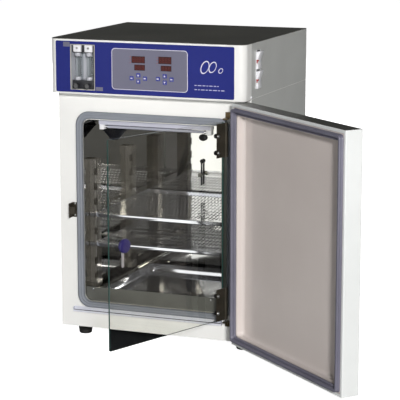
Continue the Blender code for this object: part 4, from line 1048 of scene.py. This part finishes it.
def studio_floor():
    """A pale floor that glows for the camera, and is dark in reflections and in its painted shadow patch
    under the cabinet.
    """
    mesh = bpy.data.meshes.new("studio_floor")
    mesh.from_pydata([(-FLOOR_HALF, -FLOOR_HALF, 0), (FLOOR_HALF, -FLOOR_HALF, 0),
                      (FLOOR_HALF, FLOOR_HALF, 0), (-FLOOR_HALF, FLOOR_HALF, 0)], [], [(0, 1, 2, 3)])
    linked("studio_floor", mesh)
    pale, tree, shader = blank("studio_floor")
    place = coordinates(tree)
    white = blend_colours(tree, noise(tree, place, 2.0, 3.0), tint(243, 243, 243), tint(248, 248, 248))
    seen = node(tree, "ShaderNodeLightPath", {})
    direct = calculated(tree, "LESS_THAN", seen["Transparent Depth"], 0.5)
    away = node(tree, "ShaderNodeVectorMath", {0: place, 1: PAINTED_SHADOW_AT}, operation="DISTANCE")["Value"]
    plain = calculated(tree, "MAXIMUM", direct, calculated(tree, "GREATER_THAN", away, PAINTED_SHADOW_REACH))
    shown = calculated(tree, "MULTIPLY", seen["Is Camera Ray"], plain)
    painted_shadow = calculated(tree, "SUBTRACT", seen["Is Camera Ray"], shown)
    shadow_and_reflection_dark = calculated(tree, "MAXIMUM", painted_shadow, seen["Is Glossy Ray"])
    # The dark colour paints the shadow patch seen through glass, and is also the floor's look in reflections
    feed(shader, {"Base Color": blend_colours(tree, shadow_and_reflection_dark, white, tint(34, 36, 40)), "Roughness": 0.9,
                  "Specular IOR Level": 0.1, "Emission Color": WHITE,
                  "Emission Strength": calculated(tree, "MULTIPLY", shown, FLOOR_GLOW)})
    mesh.materials.append(pale)


# Corners of the two cards, in cabinet coordinates
STANDING_CARD = [(-0.60, -1.4, 0.002), (-0.20, -1.4, 0.002), (-0.20, -1.4, 1.2), (-1.00, -1.4, 1.2),
                 (-1.00, -1.4, 0.070), (-0.60, -1.4, 0.060)]
LYING_CARD = [(-0.39, -0.7, 0.001), (-0.58, -1.4, 0.001), (-0.20, -1.4, 0.001), (-0.05, -0.7, 0.001)]
CARD_GLOW = 1.7


def reflector():
    """Bright cards to the left of the front, one standing and one lying, seen only in polished steel."""
    mesh = bpy.data.meshes.new("reflector_cards")
    mesh.from_pydata([PLACE @ Vector(corner) for corner in STANDING_CARD + LYING_CARD], [],
                     [(0, 1, 2, 3, 4, 5), (6, 7, 8, 9)])
    cards = linked("reflector_cards", mesh)
    cards.visible_camera = False
    cards.visible_diffuse = False
    cards.visible_shadow = False
    made, tree, shader = blank("reflector_cards")
    cloud = noise(tree, coordinates(tree), 1.5)
    feed(shader, {"Base Color": (0, 0, 0, 1), "Emission Strength": CARD_GLOW,
                  "Emission Color": blend_colours(tree, cloud, (0.88, 0.90, 0.90, 1), WHITE)})
    mesh.materials.append(made)


def room():
    """A dim room, lighter to the front left, with a white backdrop for the camera."""
    world = bpy.data.worlds.new("studio")
    bpy.context.scene.world = world
    world.use_nodes = True
    tree = world.node_tree
    towards = node(tree, "ShaderNodeVectorMath", {0: coordinates(tree, "Generated"), 1: ROOM_BRIGHT_SIDE},
                   operation="DOT_PRODUCT")["Value"]
    walls = blend_colours(tree, spread(tree, towards, -0.3, 0.9, 0.0, 1.0), ROOM_DARK, ROOM_LIGHT)
    camera_ray = node(tree, "ShaderNodeLightPath", {})["Is Camera Ray"]
    feed(tree.nodes["Background"], {"Color": blend_colours(tree, camera_ray, walls, WHITE),
                                    "Strength": 1.0})


LIGHT_DISTANCE = 7.0
LIT_HEIGHT = 0.40


def add_light(name, azimuth, elevation, size, energy, colour):
    """A square soft light that looks at the cabinet; its azimuth runs from the front round to the right."""
    light = bpy.data.lights.new(name, "AREA")
    light.shape = "RECTANGLE"
    light.size = light.size_y = size
    light.energy = energy
    light.color = colour
    lamp = linked(name, light)
    a, e = math.radians(azimuth), math.radians(elevation)
    away = Vector((math.sin(a) * math.cos(e), -math.cos(a) * math.cos(e), math.sin(e)))
    lamp.location = PLACE @ (Vector((0, 0, LIT_HEIGHT)) + away * LIGHT_DISTANCE)
    lamp.rotation_mode = "QUATERNION"
    lamp.rotation_quaternion = away.to_track_quat("Z", "Y")
    lamp.visible_camera = False
    return lamp


def studio():
    studio_floor()
    reflector()
    room()
    add_light("key_softbox", 28.5, 16, 0.6, 415, (1.0, 0.985, 0.965))
    rear = add_light("rear_softbox", 212, 14, 2.5, 230, (0.98, 0.99, 1.0))
    rear.visible_glossy = False


CAMERA_AT = Vector((1.7243, -4.14385, 1.2787))
CAMERA_TURN = (79.0454, 0.016, 20.976)
FOCAL_LENGTH = 151.37


def camera():
    lens = bpy.data.cameras.new("camera")
    lens.lens = FOCAL_LENGTH
    lens.sensor_width = 36
    lens.clip_end = 200
    item = linked("camera", lens)
    item.location = PLACE @ CAMERA_AT
    item.rotation_euler = [math.radians(angle) for angle in CAMERA_TURN]
    bpy.context.scene.camera = item
    bpy.context.scene.view_settings.view_transform = "Standard"


dress_kept_nodes()
liner_panels()
chamber_seal()
for name, top in SHELF_TOPS.items():
    shelf(name, top)
water_pan()
lamp()
fan_wheel()
chamber_fittings()
rack_screws()
glass_pane()
strap_hardware()
hinge_rod_and_shade_strip()
latch()
keeper_screws()
drip_rail_trim()
door_gasket()
door_lining()
door_fittings()
membrane()
displays()
for name, (x, z, mark) in BUTTONS.items():
    button(name, x, z, mark)
panel_prints()
flow_meter()
for side, x in LANES.items():
    valve_knob(side, x)
for name, level in ROCKERS.items():
    rocker(name, level)
side_fittings()
rear_fittings()
rubber_feet()
studio()
camera()
